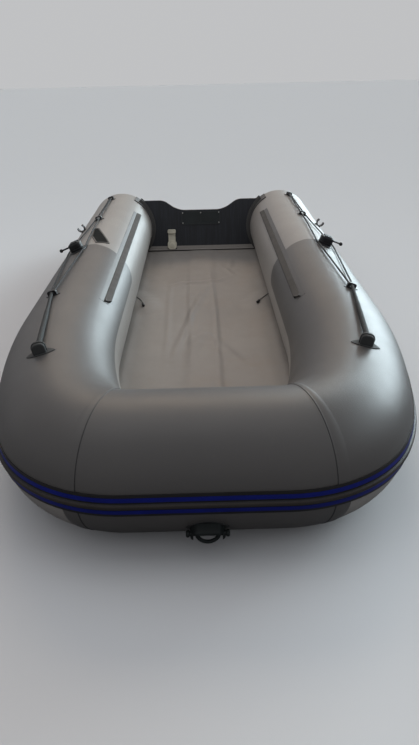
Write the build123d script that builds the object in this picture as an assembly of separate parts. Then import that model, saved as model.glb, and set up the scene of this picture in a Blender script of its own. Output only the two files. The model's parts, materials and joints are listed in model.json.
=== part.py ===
"""Inflatable boat with a soft fabric floor, a plywood transom and a full-length rub rail.

Millimetres. +Z is up, +X is port and the bow points along -Y. The origin is on the ground, under
the middle of the boat. Pieces are drawn round the tubes' axis plane, with the bow tube's axis at
y = 0, and placed on the ground when they are written.
"""
from build123d import *
import math
import os

os.makedirs("parts", exist_ok=True)

# Buoyancy tube: one round section led along straight runs and bends, from the bow's middle aft
TUBE_RADIUS = 225
BOW_FLAT = 240                                   # half of the straight run across the bow
BOW_INNER_BEND = 15                              # tightest bend's radius on the tube's inner side
SHOULDER_BEND = 649
SIDE_BEND = 2216
BENDS = [(TUBE_RADIUS + BOW_INNER_BEND, 60), (SHOULDER_BEND, 15), (SIDE_BEND, 15)]   # axis radius, turn
SIDE_PANEL = 800                                 # straight dark panel behind the last bend
QUARTER_PANEL = 1350                             # straight pale panel that ends at the tail cone
SEAM_HEIGHT = 40                                 # dark upper and pale lower panels meet here
BOW_SEAM = 313                                   # seam of the bow panel, along the axis

# Tail cones
TAIL_LENGTH = 330
TAIL_TIP_RADIUS = 75
TAIL_CAP_LENGTH = 28
TAIL_CAP_WALL = 6

# Clearance between a piece and the curved skin that it is glued to
SEAT_GAP = 0.3
SEAT_REACH = 110                                 # tube length that a fitting's seat is cut from
PATCH_SPARE = 1.3                                # shell's size over that of the patch cut from it

# Rub rail: a moulded strip with a middle bead and two inlaid stripes
RAIL_WIDTH = 74
RAIL_BASE = 4
RAIL_RISE = 5                                    # middle of the rail above the tube's axis
RAIL_BEAD_WIDTH = 20
RAIL_BEAD_HEIGHT = 8
STRIPE_WIDTH = 14
STRIPE_OFFSET = 21                               # stripe's middle from the rail's middle
STRIPE_DEPTH = 2
RAIL_AFT_MARGIN = 120                            # rail stops this far ahead of the tail cone

# Floor skin and keel
FLOOR_TOP = -160                                 # under the tubes' axis
FLOOR_THICKNESS = 45
FLOOR_EDGE = 95                                  # plan distance of the floor's rim inside the axis
KEEL_RADIUS = 60
KEEL_DEPTH = 222                                 # keel's lowest line under the tubes' axis
KEEL_NOSE = 520                                  # keel starts this far behind the bow axis

# Transom: a board raked aft between the tubes
TRANSOM_INSET = 170                              # board's foot ahead of the tail cone's root
TRANSOM_RAKE = 13
TRANSOM_THICKNESS = 25
TRANSOM_EAR_HEIGHT = 187                         # above the tubes' axis
TRANSOM_CUT_HEIGHT = 117
TRANSOM_EAR_INNER = 272
TRANSOM_CUT_HALF = 168
TRANSOM_EAR_FILLET = 110
TRANSOM_CUT_FILLET = 190
TRANSOM_EDGE_FILLET = 4
TRANSOM_FOOT = 50                                # board's reach below the floor's top
FOOT_TAPE_HEIGHT = 24                            # fabric tape in the corner of board and floor
FOOT_TAPE_REACH = 26
FOOT_TAPE_THICKNESS = 1.5

# Moulded holders between the board and the tubes
HOLDER_SKIN = 5
HOLDER_REACH = 45                                # flange on each side of the board
HOLDER_LIP = 8
HOLDER_LIP_DEPTH = 20
HOLDER_START = 118                               # degrees round the tube from the outboard side
HOLDER_LIP_START = 127
HOLDER_END = 234

# Motor pads on the board
PAD_WIDTH = 290
PAD_HEIGHT = 95
PAD_THICKNESS = 5
PAD_BELOW_CUT = 12
PAD_CORNER = 12
PAD_RECESS_MARGIN = 10
PAD_RECESS_DEPTH = 2
OUTER_PAD_HEIGHT = 150

# Drain valve on the board's front face
DRAIN_X = -220
DRAIN_HEIGHT = 145
DRAIN_WIDTH = 66
DRAIN_FOOT_HEIGHT = 64
DRAIN_CORNER = 22
DRAIN_DEPTH = 20
DRAIN_NECK_WIDTH = 52
DRAIN_NECK_DEPTH = 13
DRAIN_TAB_WIDTH = 60
DRAIN_TAB_HEIGHT = 30
DRAIN_TAB_CORNER = 10
DRAIN_TAB_DEPTH = 24
DRAIN_BUTTON_RADIUS = 17
DRAIN_BUTTON_HEIGHT = 6
DRAIN_HOLE_RADIUS = 3
DRAIN_EDGE_FILLET = 3

# Seat tracks on the inner shoulders of the tubes
TRACK_ANGLE = 133
TRACK_START = 95                                 # behind the last bend
TRACK_LENGTH = 1650
TRACK_WIDTH = 46
TRACK_BASE = 3
TRACK_BORE = 5
TRACK_WALL = 2.5
TRACK_SLOT = 4

# Grab rope eyelets, straps and oar gear
EYELET_PATCH_LENGTH = 66                         # round the tube
EYELET_PATCH_WIDTH = 34
PATCH_THICKNESS = 2.5
EYELET_ARCH_WIDTH = 42
EYELET_ARCH_HEIGHT = 23
EYELET_ARCH_CORNER = 10
EYELET_ARCH_LENGTH = 16
EYELET_ARCH_EDGE = 3
EYELET_HOLE_WIDTH = 23
EYELET_HOLE_HEIGHT = 11
EYELET_HOLE_LIFT = 12                            # hole's middle over the skin

OARLOCK_ANGLE = 68
OARLOCK_BASE_RADIUS = 38
OARLOCK_BASE_HEIGHT = 12
OARLOCK_SPINDLE_RADIUS = 8
OARLOCK_HEAD_HEIGHT = 30
OARLOCK_HEAD_LENGTH = 72
OARLOCK_HEAD_WIDTH = 56
OARLOCK_HEAD_CORNER = 20
OARLOCK_HEAD_FILLET = 8
OARLOCK_RIB_WIDTH = 9
OARLOCK_RIB_HEIGHT = 5
OARLOCK_RIB_LENGTH = 46
OARLOCK_PIN_HEIGHT = 17                          # pin's axis over the head's seat
OARLOCK_PIN_RADIUS = 4.5
OARLOCK_PIN_LENGTH = 48                          # from the head to the knob's middle
OARLOCK_KNOB_RADIUS = 10
OARLOCK_PATCH_LENGTH = 150
OARLOCK_PATCH_WIDTH = 96
TURN_GAP = 0.5
ROPE_RADIUS = 4
ROPE_SPACING = 10                                # between the two strands at the eyelets
ROPE_EYELET_BEND = 80                            # rope's bend radius where an eyelet turns it
ROPE_FLOAT = 3                                   # clearance under the rope over the oarlock's patch
# Side of the pair, and the strand's angle beside the oarlock and just off it
ROPE_SIDES = {"inboard": (1, 81, 79), "outboard": (-1, 56, 57)}
ROPE_BEND_SHARE = 0.45                           # share of the shorter run that a bend may use
GRIP_RADII = ((10, 9), (7.5, 6.5))               # braided grip's two stages, from its forward end
GRIP_SHARES = (0.62, 0.38)
GRIP_LIFT = 21                                   # grip's axis over the skin at the strap
GRIP_SPARE = 8                                   # grip's ends beyond the faces that trim them

# Bow handle and towing ring
BOW_BLOCK_ANGLE = -28                            # degrees below the outboard side
BOW_BLOCK_TOP_WIDTH = 70
BOW_BLOCK_WIDTH = 106
BOW_BLOCK_HEIGHT = 58
BOW_BLOCK_DEPTH = 34
BOW_BLOCK_CORNER = 16
BOW_BLOCK_FILLET = 9
BOW_PATCH_WIDTH = 176
BOW_PATCH_HEIGHT = 74
BOW_RING_RADIUS = 33
BOW_RING_ROD = 6
BOW_BAR_RADIUS = 7
BOW_EAR_RADIUS = 11
BOW_EAR_LENGTH = 12
BOW_EAR_FILLET = 5
BOW_BAR_LIFT = 20                                # bar's axis from the tube's skin
BOW_RING_SWING = 35                              # ring's reach towards the tube, in degrees
MOVING_GAP = 5

# Stations of the fittings: distance behind the last bend, angle round the tube
FRONT_EYELET = 70
MIDDLE_EYELET_AFT = 595                          # these lie behind or ahead of the dark panel's end
STERN_EYELET_AFT = 1175
OARLOCK_AHEAD = 30
CLIP_AFT = 500
BADGE_AFT = 206
EYELETS = [(FRONT_EYELET, 73), (SIDE_PANEL + MIDDLE_EYELET_AFT, 75), (SIDE_PANEL + STERN_EYELET_AFT, 76)]
OARLOCK_STATION = SIDE_PANEL - OARLOCK_AHEAD
CLIP_STATION = SIDE_PANEL + CLIP_AFT
CLIP_ANGLE = 50
STRAP_STATION = -504
STRAP_ANGLE = 79
CLIP_RADIUS = 18
CLIP_WALL = 5
CLIP_LENGTH = 26
CLIP_OPENING = 110
CLIP_FOOT_RADIUS = 21
STRAP_LENGTH = 34
STRAP_WIDTH = 46
STRAP_HEIGHT = 40
STRAP_CORNER = 18
STRAP_EDGE = 5
STRAP_RIB = 7
STRAP_RIB_HEIGHT = 3
STRAP_PATCH_LENGTH = 104                         # round the tube
STRAP_PATCH_WIDTH = 50

# Blank badge plate on the starboard tube: places aft and round the tube from its middle
BADGE_STATION = SIDE_PANEL + BADGE_AFT
BADGE_ANGLE = 90
BADGE_OUTLINE = ((157, -53), (153, -24), (-144, 80), (-166, 5), (-20, -41))
BADGE_CORNER = 10
BADGE_RIM = 9
BADGE_RECESS = 0.8

# Small toggles on lanyards that come out between the tubes and the floor: cord points, from the toggle on
TOGGLE_RADIUS = 8
TOGGLE_LENGTH = 34
TOGGLE_FILLET = 5.5
LANYARD_RADIUS = 2
LANYARDS = {
    "port": ((333, 1724), (346, 1751), (366, 1794), (394, 1838), (422, 1872)),
    "starboard": ((352, 1716), (358, 1745), (371, 1792), (396, 1839), (422, 1874)),
}


def centreline():
    """Port side runs of the tube's axis: start, x, y, heading, length, bend radius."""
    runs = []
    x, y, heading, start = 0.0, 0.0, 0.0, 0.0
    table = [(BOW_FLAT, 0, 0)]
    table += [(radius * math.radians(turn), radius, turn) for radius, turn in BENDS]
    table += [(SIDE_PANEL + QUARTER_PANEL, 0, 0)]
    for length, radius, turn in table:
        runs.append((start, x, y, heading, length, radius))
        x, y, heading = step(x, y, heading, length, radius)
        start += length
    return runs


def step(x, y, heading, length, radius):
    """Point and heading after a length of a straight run (radius 0) or of a bend to the left."""
    angle = math.radians(heading)
    if not radius:
        return x + length * math.cos(angle), y + length * math.sin(angle), heading
    turned = angle + length / radius
    x += radius * (math.sin(turned) - math.sin(angle))
    y += radius * (math.cos(angle) - math.cos(turned))
    return x, y, math.degrees(turned)


RUNS = centreline()
SIDE_START = RUNS[-1][0]
QUARTER_START = SIDE_START + SIDE_PANEL
TUBE_END = QUARTER_START + QUARTER_PANEL
TRANSOM_STATION = RUNS[-1][2] + SIDE_PANEL + QUARTER_PANEL - TRANSOM_INSET


def station(distance):
    """Point and heading of the axis at a distance from the bow's middle."""
    for start, x, y, heading, length, radius in reversed(RUNS):
        if distance >= start:
            return step(x, y, heading, distance - start, radius)
    return step(0, 0, 0, distance, 0)


def plane_across(x, y, heading):
    """Plane across the tube at a point of its axis: its x points outboard and its y points up."""
    angle = math.radians(heading)
    return Plane(
        origin=(x, y, 0),
        x_dir=(math.sin(angle), -math.cos(angle), 0),
        z_dir=(-math.cos(angle), -math.sin(angle), 0),
    )


def section_plane(distance):
    return plane_across(*station(distance))


def skin_plane(distance, angle, lift=0.0):
    """Plane on the tube's skin: z points out of the skin and x runs aft along the tube."""
    section = section_plane(distance)
    turn = math.radians(angle)
    out = section.x_dir * math.cos(turn) + section.y_dir * math.sin(turn)
    origin = section.origin + out * (TUBE_RADIUS + lift)
    return Plane(origin=origin, x_dir=-section.z_dir, z_dir=out)


def along_tube(profile, start, stop):
    """Leads a profile, drawn in the section plane, along the tube's axis from start to stop."""
    solid = None
    for run_start, x, y, heading, length, radius in RUNS:
        first = max(start, run_start)
        last = min(stop, run_start + length)
        if last - first < 1e-6:
            continue
        face = plane_across(*step(x, y, heading, first - run_start, radius)) * profile
        if radius:
            angle = math.radians(heading)
            centre = (x - radius * math.sin(angle), y + radius * math.cos(angle), 0)
            turn = math.degrees((last - first) / radius)
            piece = revolve(face, axis=Axis(centre, (0, 0, 1)), revolution_arc=turn)
        else:
            angle = math.radians(heading)
            piece = extrude(face, amount=last - first, dir=(math.cos(angle), math.sin(angle), 0))
        solid = piece if solid is None else solid + piece
    return solid


def band(inner, outer, first, last):
    """Section profile between two radii and two angles round the tube."""
    a, b = math.radians(first), math.radians(last)
    middle = (a + b) / 2
    def at(radius, angle):
        return (radius * math.cos(angle), radius * math.sin(angle))
    edges = [
        ThreePointArc(at(outer, a), at(outer, middle), at(outer, b)),
        Line(at(outer, b), at(inner, b)),
        ThreePointArc(at(inner, b), at(inner, middle), at(inner, a)),
        Line(at(inner, a), at(outer, a)),
    ]
    return make_face(edges)


def arc_degrees(length):
    """Angle that an arc length covers on the tube's skin."""
    return math.degrees(length / TUBE_RADIUS)


def mirrored(shape):
    """Starboard copy of a port shape."""
    return mirror(shape, about=Plane.YZ)


def across_bow(profile, reach):
    """A profile led from starboard to port across the bow."""
    port = along_tube(profile, 0, reach)
    return port + mirrored(port)


def skin_shell(distance, angle, length, width, bottom, top):
    """Piece of shell on the tube's skin, centred on a place, between two heights."""
    half = arc_degrees(width) / 2
    profile = band(TUBE_RADIUS + bottom, TUBE_RADIUS + top, angle - half, angle + half)
    return along_tube(profile, distance - length / 2, distance + length / 2)


def patch(outline, distance, angle, length, width, thickness=PATCH_THICKNESS):
    """Glued patch: an outline drawn on the skin plane, bent round the tube."""
    top = SEAT_GAP + thickness
    shell = skin_shell(distance, angle, length * PATCH_SPARE, width * PATCH_SPARE, SEAT_GAP, top)
    reach = TUBE_RADIUS / 2
    prism = extrude(skin_plane(distance, angle, -reach) * outline, amount=2 * reach)
    return shell & prism


def seat_cutter(distance):
    """The tube near a place with its seat clearance, to cut what sits on it."""
    return along_tube(Circle(TUBE_RADIUS + SEAT_GAP), distance - SEAT_REACH, distance + SEAT_REACH)


# Tubes

def tube_sections():
    """Tube section: whole, its dark upper part and its pale lower part."""
    whole = Circle(TUBE_RADIUS)
    above = Pos(0, SEAM_HEIGHT + TUBE_RADIUS) * Rectangle(4 * TUBE_RADIUS, 2 * TUBE_RADIUS)
    return whole, whole & above, whole - above


def tail_cone():
    plane = section_plane(TUBE_END)
    cone = loft([plane * Circle(TUBE_RADIUS), plane.offset(-TAIL_LENGTH) * Circle(TAIL_TIP_RADIUS)])
    return cone


def tail_cap():
    """Rubber cup over the cone's tip."""
    taper = (TUBE_RADIUS - TAIL_TIP_RADIUS) / TAIL_LENGTH
    rim_radius = TAIL_TIP_RADIUS + taper * TAIL_CAP_LENGTH
    gap = SEAT_GAP * math.hypot(1, taper)
    plane = section_plane(TUBE_END).offset(-TAIL_LENGTH)
    rim = plane.offset(TAIL_CAP_LENGTH)
    end = plane.offset(-TAIL_CAP_WALL)
    outer = loft([rim * Circle(rim_radius + TAIL_CAP_WALL), end * Circle(TAIL_TIP_RADIUS)])
    inner = loft([rim * Circle(rim_radius + gap), plane * Circle(TAIL_TIP_RADIUS + gap)])
    return outer - inner


# Rub rail

def rail_profiles():
    """Rail section with its grooves and bead, and the section of the two stripes."""
    rise = arc_degrees(RAIL_RISE)
    inner = TUBE_RADIUS + SEAT_GAP
    outer = inner + RAIL_BASE
    half = arc_degrees(RAIL_WIDTH) / 2
    rail = band(inner, outer, rise - half, rise + half)
    bead_half = RAIL_BEAD_WIDTH / 2
    bead_plane = Rot(0, 0, rise) * Pos(outer - RAIL_BASE / 2, 0)
    bead = bead_plane * Ellipse(RAIL_BEAD_HEIGHT + RAIL_BASE / 2, bead_half)
    bead = bead - bead_plane * Pos(-RAIL_BEAD_HEIGHT * 2, 0) * Rectangle(RAIL_BEAD_HEIGHT * 4, RAIL_WIDTH)
    rail = rail + bead
    stripes = []
    groove_gap = arc_degrees(SEAT_GAP)
    stripe_half = arc_degrees(STRIPE_WIDTH) / 2
    for side in (-1, 1):
        middle = rise + side * arc_degrees(STRIPE_OFFSET)
        groove = band(outer - STRIPE_DEPTH, outer + RAIL_BASE,
                      middle - stripe_half - groove_gap, middle + stripe_half + groove_gap)
        rail = rail - groove
        stripes.append(band(outer - STRIPE_DEPTH + SEAT_GAP, outer + SEAT_GAP,
                            middle - stripe_half, middle + stripe_half))
    return rail, stripes


# Floor and keel

def plan_outline(inset, stern):
    """Plan face inside the tube's axis by an inset, closed across the stern."""
    edges = []
    for _, x, y, heading, length, radius in RUNS:
        angle = math.radians(heading)
        left = (-math.sin(angle), math.cos(angle))
        start = (x + inset * left[0], y + inset * left[1])
        if radius:
            middle = step(x, y, heading, length / 2, radius)
            end = step(x, y, heading, length, radius)
            points = [start] + [inset_point(place, inset) for place in (middle, end)]
            edges.append(ThreePointArc(*points))
        elif heading < 45:
            edges.append(Line((0, y + inset), (x + length, y + inset)))
        else:
            edges.append(Line(start, (start[0], stern)))
    stern_x = edges[-1] @ 1
    port = edges + [Line((stern_x.X, stern), (0, stern))]
    half = make_face(port + [Line((0, stern), (0, inset))])
    return half + mirrored(half)


def inset_point(place, inset):
    x, y, heading = place
    angle = math.radians(heading)
    return (x - inset * math.sin(angle), y + inset * math.cos(angle))


def floor_panel():
    outline = plan_outline(FLOOR_EDGE, TRANSOM_STATION)
    panel = extrude(Pos(0, 0, FLOOR_TOP - FLOOR_THICKNESS) * outline, amount=FLOOR_THICKNESS)
    return panel - tube_cutter() - slab(-TUBE_RADIUS, SEAT_GAP)


def tube_cutter():
    """The whole tube with its seat clearance, to cut what meets it."""
    section = Circle(TUBE_RADIUS + SEAT_GAP)
    port = along_tube(section, 0, TUBE_END)
    return port + mirrored(port)


def keel():
    """Inflated keel under the floor, flat where it bears on the floor, with a round nose."""
    top = FLOOR_TOP - FLOOR_THICKNESS - SEAT_GAP
    centre = KEEL_RADIUS - KEEL_DEPTH
    length = TRANSOM_STATION - KEEL_NOSE
    section = Circle(KEEL_RADIUS)
    plane = Plane(origin=(0, KEEL_NOSE, centre), x_dir=(1, 0, 0), z_dir=(0, -1, 0))
    body = extrude(plane * section, amount=-length) + Pos(0, KEEL_NOSE, centre) * Sphere(KEEL_RADIUS)
    lid = Pos(0, KEEL_NOSE + length / 2, top + KEEL_RADIUS * 2)
    return body - lid * Box(4 * KEEL_RADIUS, 2 * length, 4 * KEEL_RADIUS) - slab(-TUBE_RADIUS, SEAT_GAP)


# Transom

def board_plane(lift=0.0):
    """Plane of the board's front face: x to port, y up the board, z forward."""
    rake = math.radians(TRANSOM_RAKE)
    forward = Vector(0, -math.cos(rake), math.sin(rake))
    origin = Vector(0, TRANSOM_STATION, FLOOR_TOP) + forward * lift
    return Plane(origin=origin, x_dir=(1, 0, 0), z_dir=forward)


def up_board(height):
    """Distance up the board of a height over the tubes' axis."""
    return (height - FLOOR_TOP) / math.cos(math.radians(TRANSOM_RAKE))


def quarter_cutter(clearance):
    """Straight port and starboard tubes with a clearance, long enough to cut the transom."""
    port = along_tube(Circle(TUBE_RADIUS + clearance), SIDE_START, TUBE_END)
    return port + mirrored(port)


def board():
    side = station(TUBE_END)[0]
    ear = up_board(TRANSOM_EAR_HEIGHT)
    cut = up_board(TRANSOM_CUT_HEIGHT)
    half = Polyline(
        (0, -TRANSOM_FOOT), (side, -TRANSOM_FOOT), (side, ear), (TRANSOM_EAR_INNER, ear),
        (TRANSOM_CUT_HALF, cut), (0, cut), close=True,
    )
    face = make_face(half)
    corners = face.vertices()
    ear_corner = corners.sort_by_distance((TRANSOM_EAR_INNER, ear, 0))[0]
    face = fillet(ear_corner, TRANSOM_EAR_FILLET)
    cut_corner = face.vertices().sort_by_distance((TRANSOM_CUT_HALF, cut, 0))[0]
    face = fillet(cut_corner, TRANSOM_CUT_FILLET)
    whole = face + mirror(face, about=Plane.YZ)
    plate = extrude(whole, amount=-TRANSOM_THICKNESS)
    rim = [edge for edge in plate.edges() if edge.center().Y > cut - TRANSOM_THICKNESS
           and edge.center().Z in (0, -TRANSOM_THICKNESS)]
    solid = board_plane() * fillet(rim, TRANSOM_EDGE_FILLET)
    return solid - quarter_cutter(HOLDER_SKIN + 2 * SEAT_GAP)


def foot_tape():
    """Fabric tape that seals the corner of the board and the floor."""
    side = station(TUBE_END)[0]
    top = FOOT_TAPE_HEIGHT - SEAT_GAP
    up = Pos(0, SEAT_GAP + top / 2, SEAT_GAP) * Rectangle(2 * side, top)
    leg = extrude(board_plane() * up, amount=FOOT_TAPE_THICKNESS)
    low = FLOOR_TOP + SEAT_GAP + FOOT_TAPE_THICKNESS / 2
    flat = Pos(0, TRANSOM_STATION - FOOT_TAPE_REACH / 2, low)
    leg += flat * Box(2 * side, FOOT_TAPE_REACH, FOOT_TAPE_THICKNESS) - slab(-TUBE_RADIUS, SEAT_GAP)
    gap = 2 * SEAT_GAP
    notch = Pos(DRAIN_X, DRAIN_HEIGHT / 2) * Rectangle(DRAIN_WIDTH + gap, DRAIN_HEIGHT + gap)
    leg -= extrude(board_plane() * notch, amount=DRAIN_DEPTH + gap)
    return leg - quarter_cutter(HOLDER_SKIN + HOLDER_LIP_DEPTH + SEAT_GAP)


def holder():
    """Moulded channel that bonds the board's edge to the port tube."""
    inner = TUBE_RADIUS + SEAT_GAP
    profile = band(inner, inner + HOLDER_SKIN, HOLDER_START, HOLDER_END)
    lip = band(inner, inner + HOLDER_SKIN + HOLDER_LIP_DEPTH, HOLDER_LIP_START, HOLDER_END)
    reach = slab(-TRANSOM_THICKNESS - HOLDER_REACH, HOLDER_REACH)
    flange = along_tube(profile, QUARTER_START, TUBE_END) & reach
    lips = along_tube(lip, QUARTER_START, TUBE_END)
    front = lips & slab(SEAT_GAP, HOLDER_LIP)
    back = lips & slab(-TRANSOM_THICKNESS - HOLDER_LIP, -TRANSOM_THICKNESS - SEAT_GAP)
    size = 8 * TUBE_RADIUS
    below = Pos(0, TRANSOM_STATION, FLOOR_TOP + SEAT_GAP - size / 2) * Box(size, size, size)
    return flange + front + back - below


def slab(low, high):
    """Wide slab parallel to the board, between two distances from its front face."""
    size = 4 * (TUBE_RADIUS + station(TUBE_END)[0])
    return extrude(board_plane(low) * Rectangle(size, size), amount=high - low)


def inner_pad():
    """Moulded plate with two recessed panels on the board's front face."""
    centre = up_board(TRANSOM_CUT_HEIGHT) - PAD_BELOW_CUT - PAD_HEIGHT / 2
    plane = board_plane(0) * Pos(0, centre)
    plate = extrude(plane * RectangleRounded(PAD_WIDTH, PAD_HEIGHT, PAD_CORNER), amount=PAD_THICKNESS)
    panel_width = (PAD_WIDTH - 3 * PAD_RECESS_MARGIN) / 2
    panel_height = PAD_HEIGHT - 2 * PAD_RECESS_MARGIN
    for side in (-1, 1):
        middle = Pos(side * (panel_width + PAD_RECESS_MARGIN) / 2, 0, PAD_THICKNESS - PAD_RECESS_DEPTH)
        panel = RectangleRounded(panel_width, panel_height, PAD_CORNER / 2)
        plate -= extrude(plane * middle * panel, amount=PAD_THICKNESS)
    return plate


def outer_pad():
    """Plate that takes the motor's clamp plate on the board's aft face."""
    centre = up_board(TRANSOM_CUT_HEIGHT) - PAD_BELOW_CUT - OUTER_PAD_HEIGHT / 2
    plane = board_plane(-TRANSOM_THICKNESS) * Pos(0, centre)
    return extrude(plane * RectangleRounded(PAD_WIDTH, OUTER_PAD_HEIGHT, PAD_CORNER), amount=-PAD_THICKNESS)


def drain_valve():
    """Drain housing: a rounded foot with its button, a neck, and a lever tab at the top."""
    plane = board_plane(SEAT_GAP) * Pos(DRAIN_X, SEAT_GAP)
    foot = Pos(0, DRAIN_FOOT_HEIGHT / 2) * RectangleRounded(DRAIN_WIDTH, DRAIN_FOOT_HEIGHT, DRAIN_CORNER)
    body = softened(plane, foot, DRAIN_DEPTH, DRAIN_EDGE_FILLET)
    neck_height = DRAIN_HEIGHT - DRAIN_TAB_HEIGHT / 2 - DRAIN_FOOT_HEIGHT / 2
    neck = Pos(0, DRAIN_FOOT_HEIGHT / 2 + neck_height / 2) * Rectangle(DRAIN_NECK_WIDTH, neck_height)
    body += extrude(plane * neck, amount=DRAIN_NECK_DEPTH)
    tab = Pos(0, DRAIN_HEIGHT - DRAIN_TAB_HEIGHT / 2)
    tab *= RectangleRounded(DRAIN_TAB_WIDTH, DRAIN_TAB_HEIGHT, DRAIN_TAB_CORNER)
    body += softened(plane, tab, DRAIN_TAB_DEPTH, DRAIN_EDGE_FILLET)
    button = plane * Pos(0, DRAIN_FOOT_HEIGHT / 2, DRAIN_DEPTH)
    body += softened(button, Circle(DRAIN_BUTTON_RADIUS), DRAIN_BUTTON_HEIGHT, DRAIN_EDGE_FILLET)
    hole = Pos(0, DRAIN_HEIGHT - DRAIN_TAB_HEIGHT - 3 * DRAIN_HOLE_RADIUS, DRAIN_NECK_DEPTH / 2)
    return body - extrude(plane * hole * Circle(DRAIN_HOLE_RADIUS), amount=DRAIN_NECK_DEPTH)


def softened(plane, outline, height, radius):
    """Outline raised from a plane, with the edge of its top rounded."""
    solid = extrude(outline, amount=height)
    return plane * fillet(solid.faces().sort_by(Axis.Z)[-1].edges(), radius)


# Seat tracks

def seat_track():
    """Track with a round bore and a slot along its inboard edge, which takes a seat's roped edge."""
    inner = TUBE_RADIUS + SEAT_GAP
    half = arc_degrees(TRACK_WIDTH) / 2
    base = band(inner, inner + TRACK_BASE, TRACK_ANGLE - half, TRACK_ANGLE + half)
    barrel_radius = TRACK_BORE + TRACK_WALL
    edge = TRACK_ANGLE + half - arc_degrees(barrel_radius)
    centre = Rot(0, 0, edge) * Pos(inner + barrel_radius, 0)
    barrel = centre * Circle(barrel_radius)
    profile = base + barrel - centre * Circle(TRACK_BORE)
    profile -= centre * Pos(barrel_radius, 0) * Rectangle(2 * barrel_radius, TRACK_SLOT)
    start = SIDE_START + TRACK_START
    return along_tube(profile, start, start + TRACK_LENGTH)


# Grab rope fittings

def eyelet(distance, angle):
    """Pointed patch across the tube, with an arch that both strands of the rope run under."""
    outline = Rot(0, 0, 90) * lens(EYELET_PATCH_LENGTH, EYELET_PATCH_WIDTH)
    base = patch(outline, distance, angle, EYELET_PATCH_WIDTH, EYELET_PATCH_LENGTH)
    across = across_plane(distance, angle, 0, EYELET_ARCH_LENGTH)
    arch = rounded_arch(across, EYELET_ARCH_WIDTH, EYELET_ARCH_HEIGHT, EYELET_ARCH_CORNER,
                        EYELET_ARCH_LENGTH, EYELET_ARCH_EDGE)
    hole = Pos(0, EYELET_HOLE_LIFT) * SlotOverall(EYELET_HOLE_WIDTH, EYELET_HOLE_HEIGHT)
    return base + (arch - seat_cutter(distance) - extrude(across * hole, amount=EYELET_ARCH_LENGTH))


def across_plane(distance, angle, lift, length):
    """Plane across the tube at the forward end of a fitting: x round the tube, y out of the skin, z aft."""
    plane = skin_plane(distance, angle, lift)
    return Plane(origin=plane.origin - plane.x_dir * (length / 2), x_dir=plane.y_dir, z_dir=plane.x_dir)


def rounded_arch(plane, width, height, corner, length, edge):
    """Block with a round top that stands on the skin, with soft edges."""
    outline = RectangleRounded(width, 2 * height, corner)
    solid = extrude(outline, amount=length)
    solid = fillet(solid.faces().sort_by(Axis.Z)[-1].edges(), edge)
    solid = fillet(solid.faces().sort_by(Axis.Z)[0].edges(), edge)
    return plane * solid


def strap():
    """Folded block on a pointed patch, which holds the grip's forward end."""
    distance = SIDE_START + STRAP_STATION
    outline = Rot(0, 0, 90) * lens(STRAP_PATCH_LENGTH, STRAP_PATCH_WIDTH)
    base = patch(outline, distance, STRAP_ANGLE, STRAP_PATCH_WIDTH, STRAP_PATCH_LENGTH)
    across = across_plane(distance, STRAP_ANGLE, 0, STRAP_LENGTH)
    block = rounded_arch(across, STRAP_WIDTH, STRAP_HEIGHT, STRAP_CORNER, STRAP_LENGTH, STRAP_EDGE)
    middle = across * Pos(0, 0, (STRAP_LENGTH - STRAP_RIB) / 2)
    rib = RectangleRounded(STRAP_WIDTH + 2 * STRAP_RIB_HEIGHT, 2 * (STRAP_HEIGHT + STRAP_RIB_HEIGHT),
                           STRAP_CORNER + STRAP_RIB_HEIGHT)
    block += extrude(middle * rib, amount=STRAP_RIB)
    return base + (block - seat_cutter(distance))


def lens(length, width):
    """Pointed oval outline."""
    half = length / 2
    radius = (half ** 2 + (width / 2) ** 2) / width
    offset = radius - width / 2
    return (Pos(0, offset) * Circle(radius)) & (Pos(0, -offset) * Circle(radius))


def oarlock_base():
    """Pointed patch with a round socket for the swivel's spindle."""
    distance = SIDE_START + OARLOCK_STATION
    outline = lens(OARLOCK_PATCH_LENGTH, OARLOCK_PATCH_WIDTH)
    base = patch(outline, distance, OARLOCK_ANGLE, OARLOCK_PATCH_LENGTH, OARLOCK_PATCH_WIDTH)
    plane = skin_plane(distance, OARLOCK_ANGLE, -OARLOCK_BASE_HEIGHT)
    socket = extrude(plane * Circle(OARLOCK_BASE_RADIUS), amount=2 * OARLOCK_BASE_HEIGHT)
    bore_depth = OARLOCK_BASE_HEIGHT - 2 * PATCH_THICKNESS
    bore = extrude(
        skin_plane(distance, OARLOCK_ANGLE, OARLOCK_BASE_HEIGHT) * Circle(OARLOCK_SPINDLE_RADIUS + TURN_GAP),
        amount=-bore_depth)
    return base + (socket - seat_cutter(distance)) - bore


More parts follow.
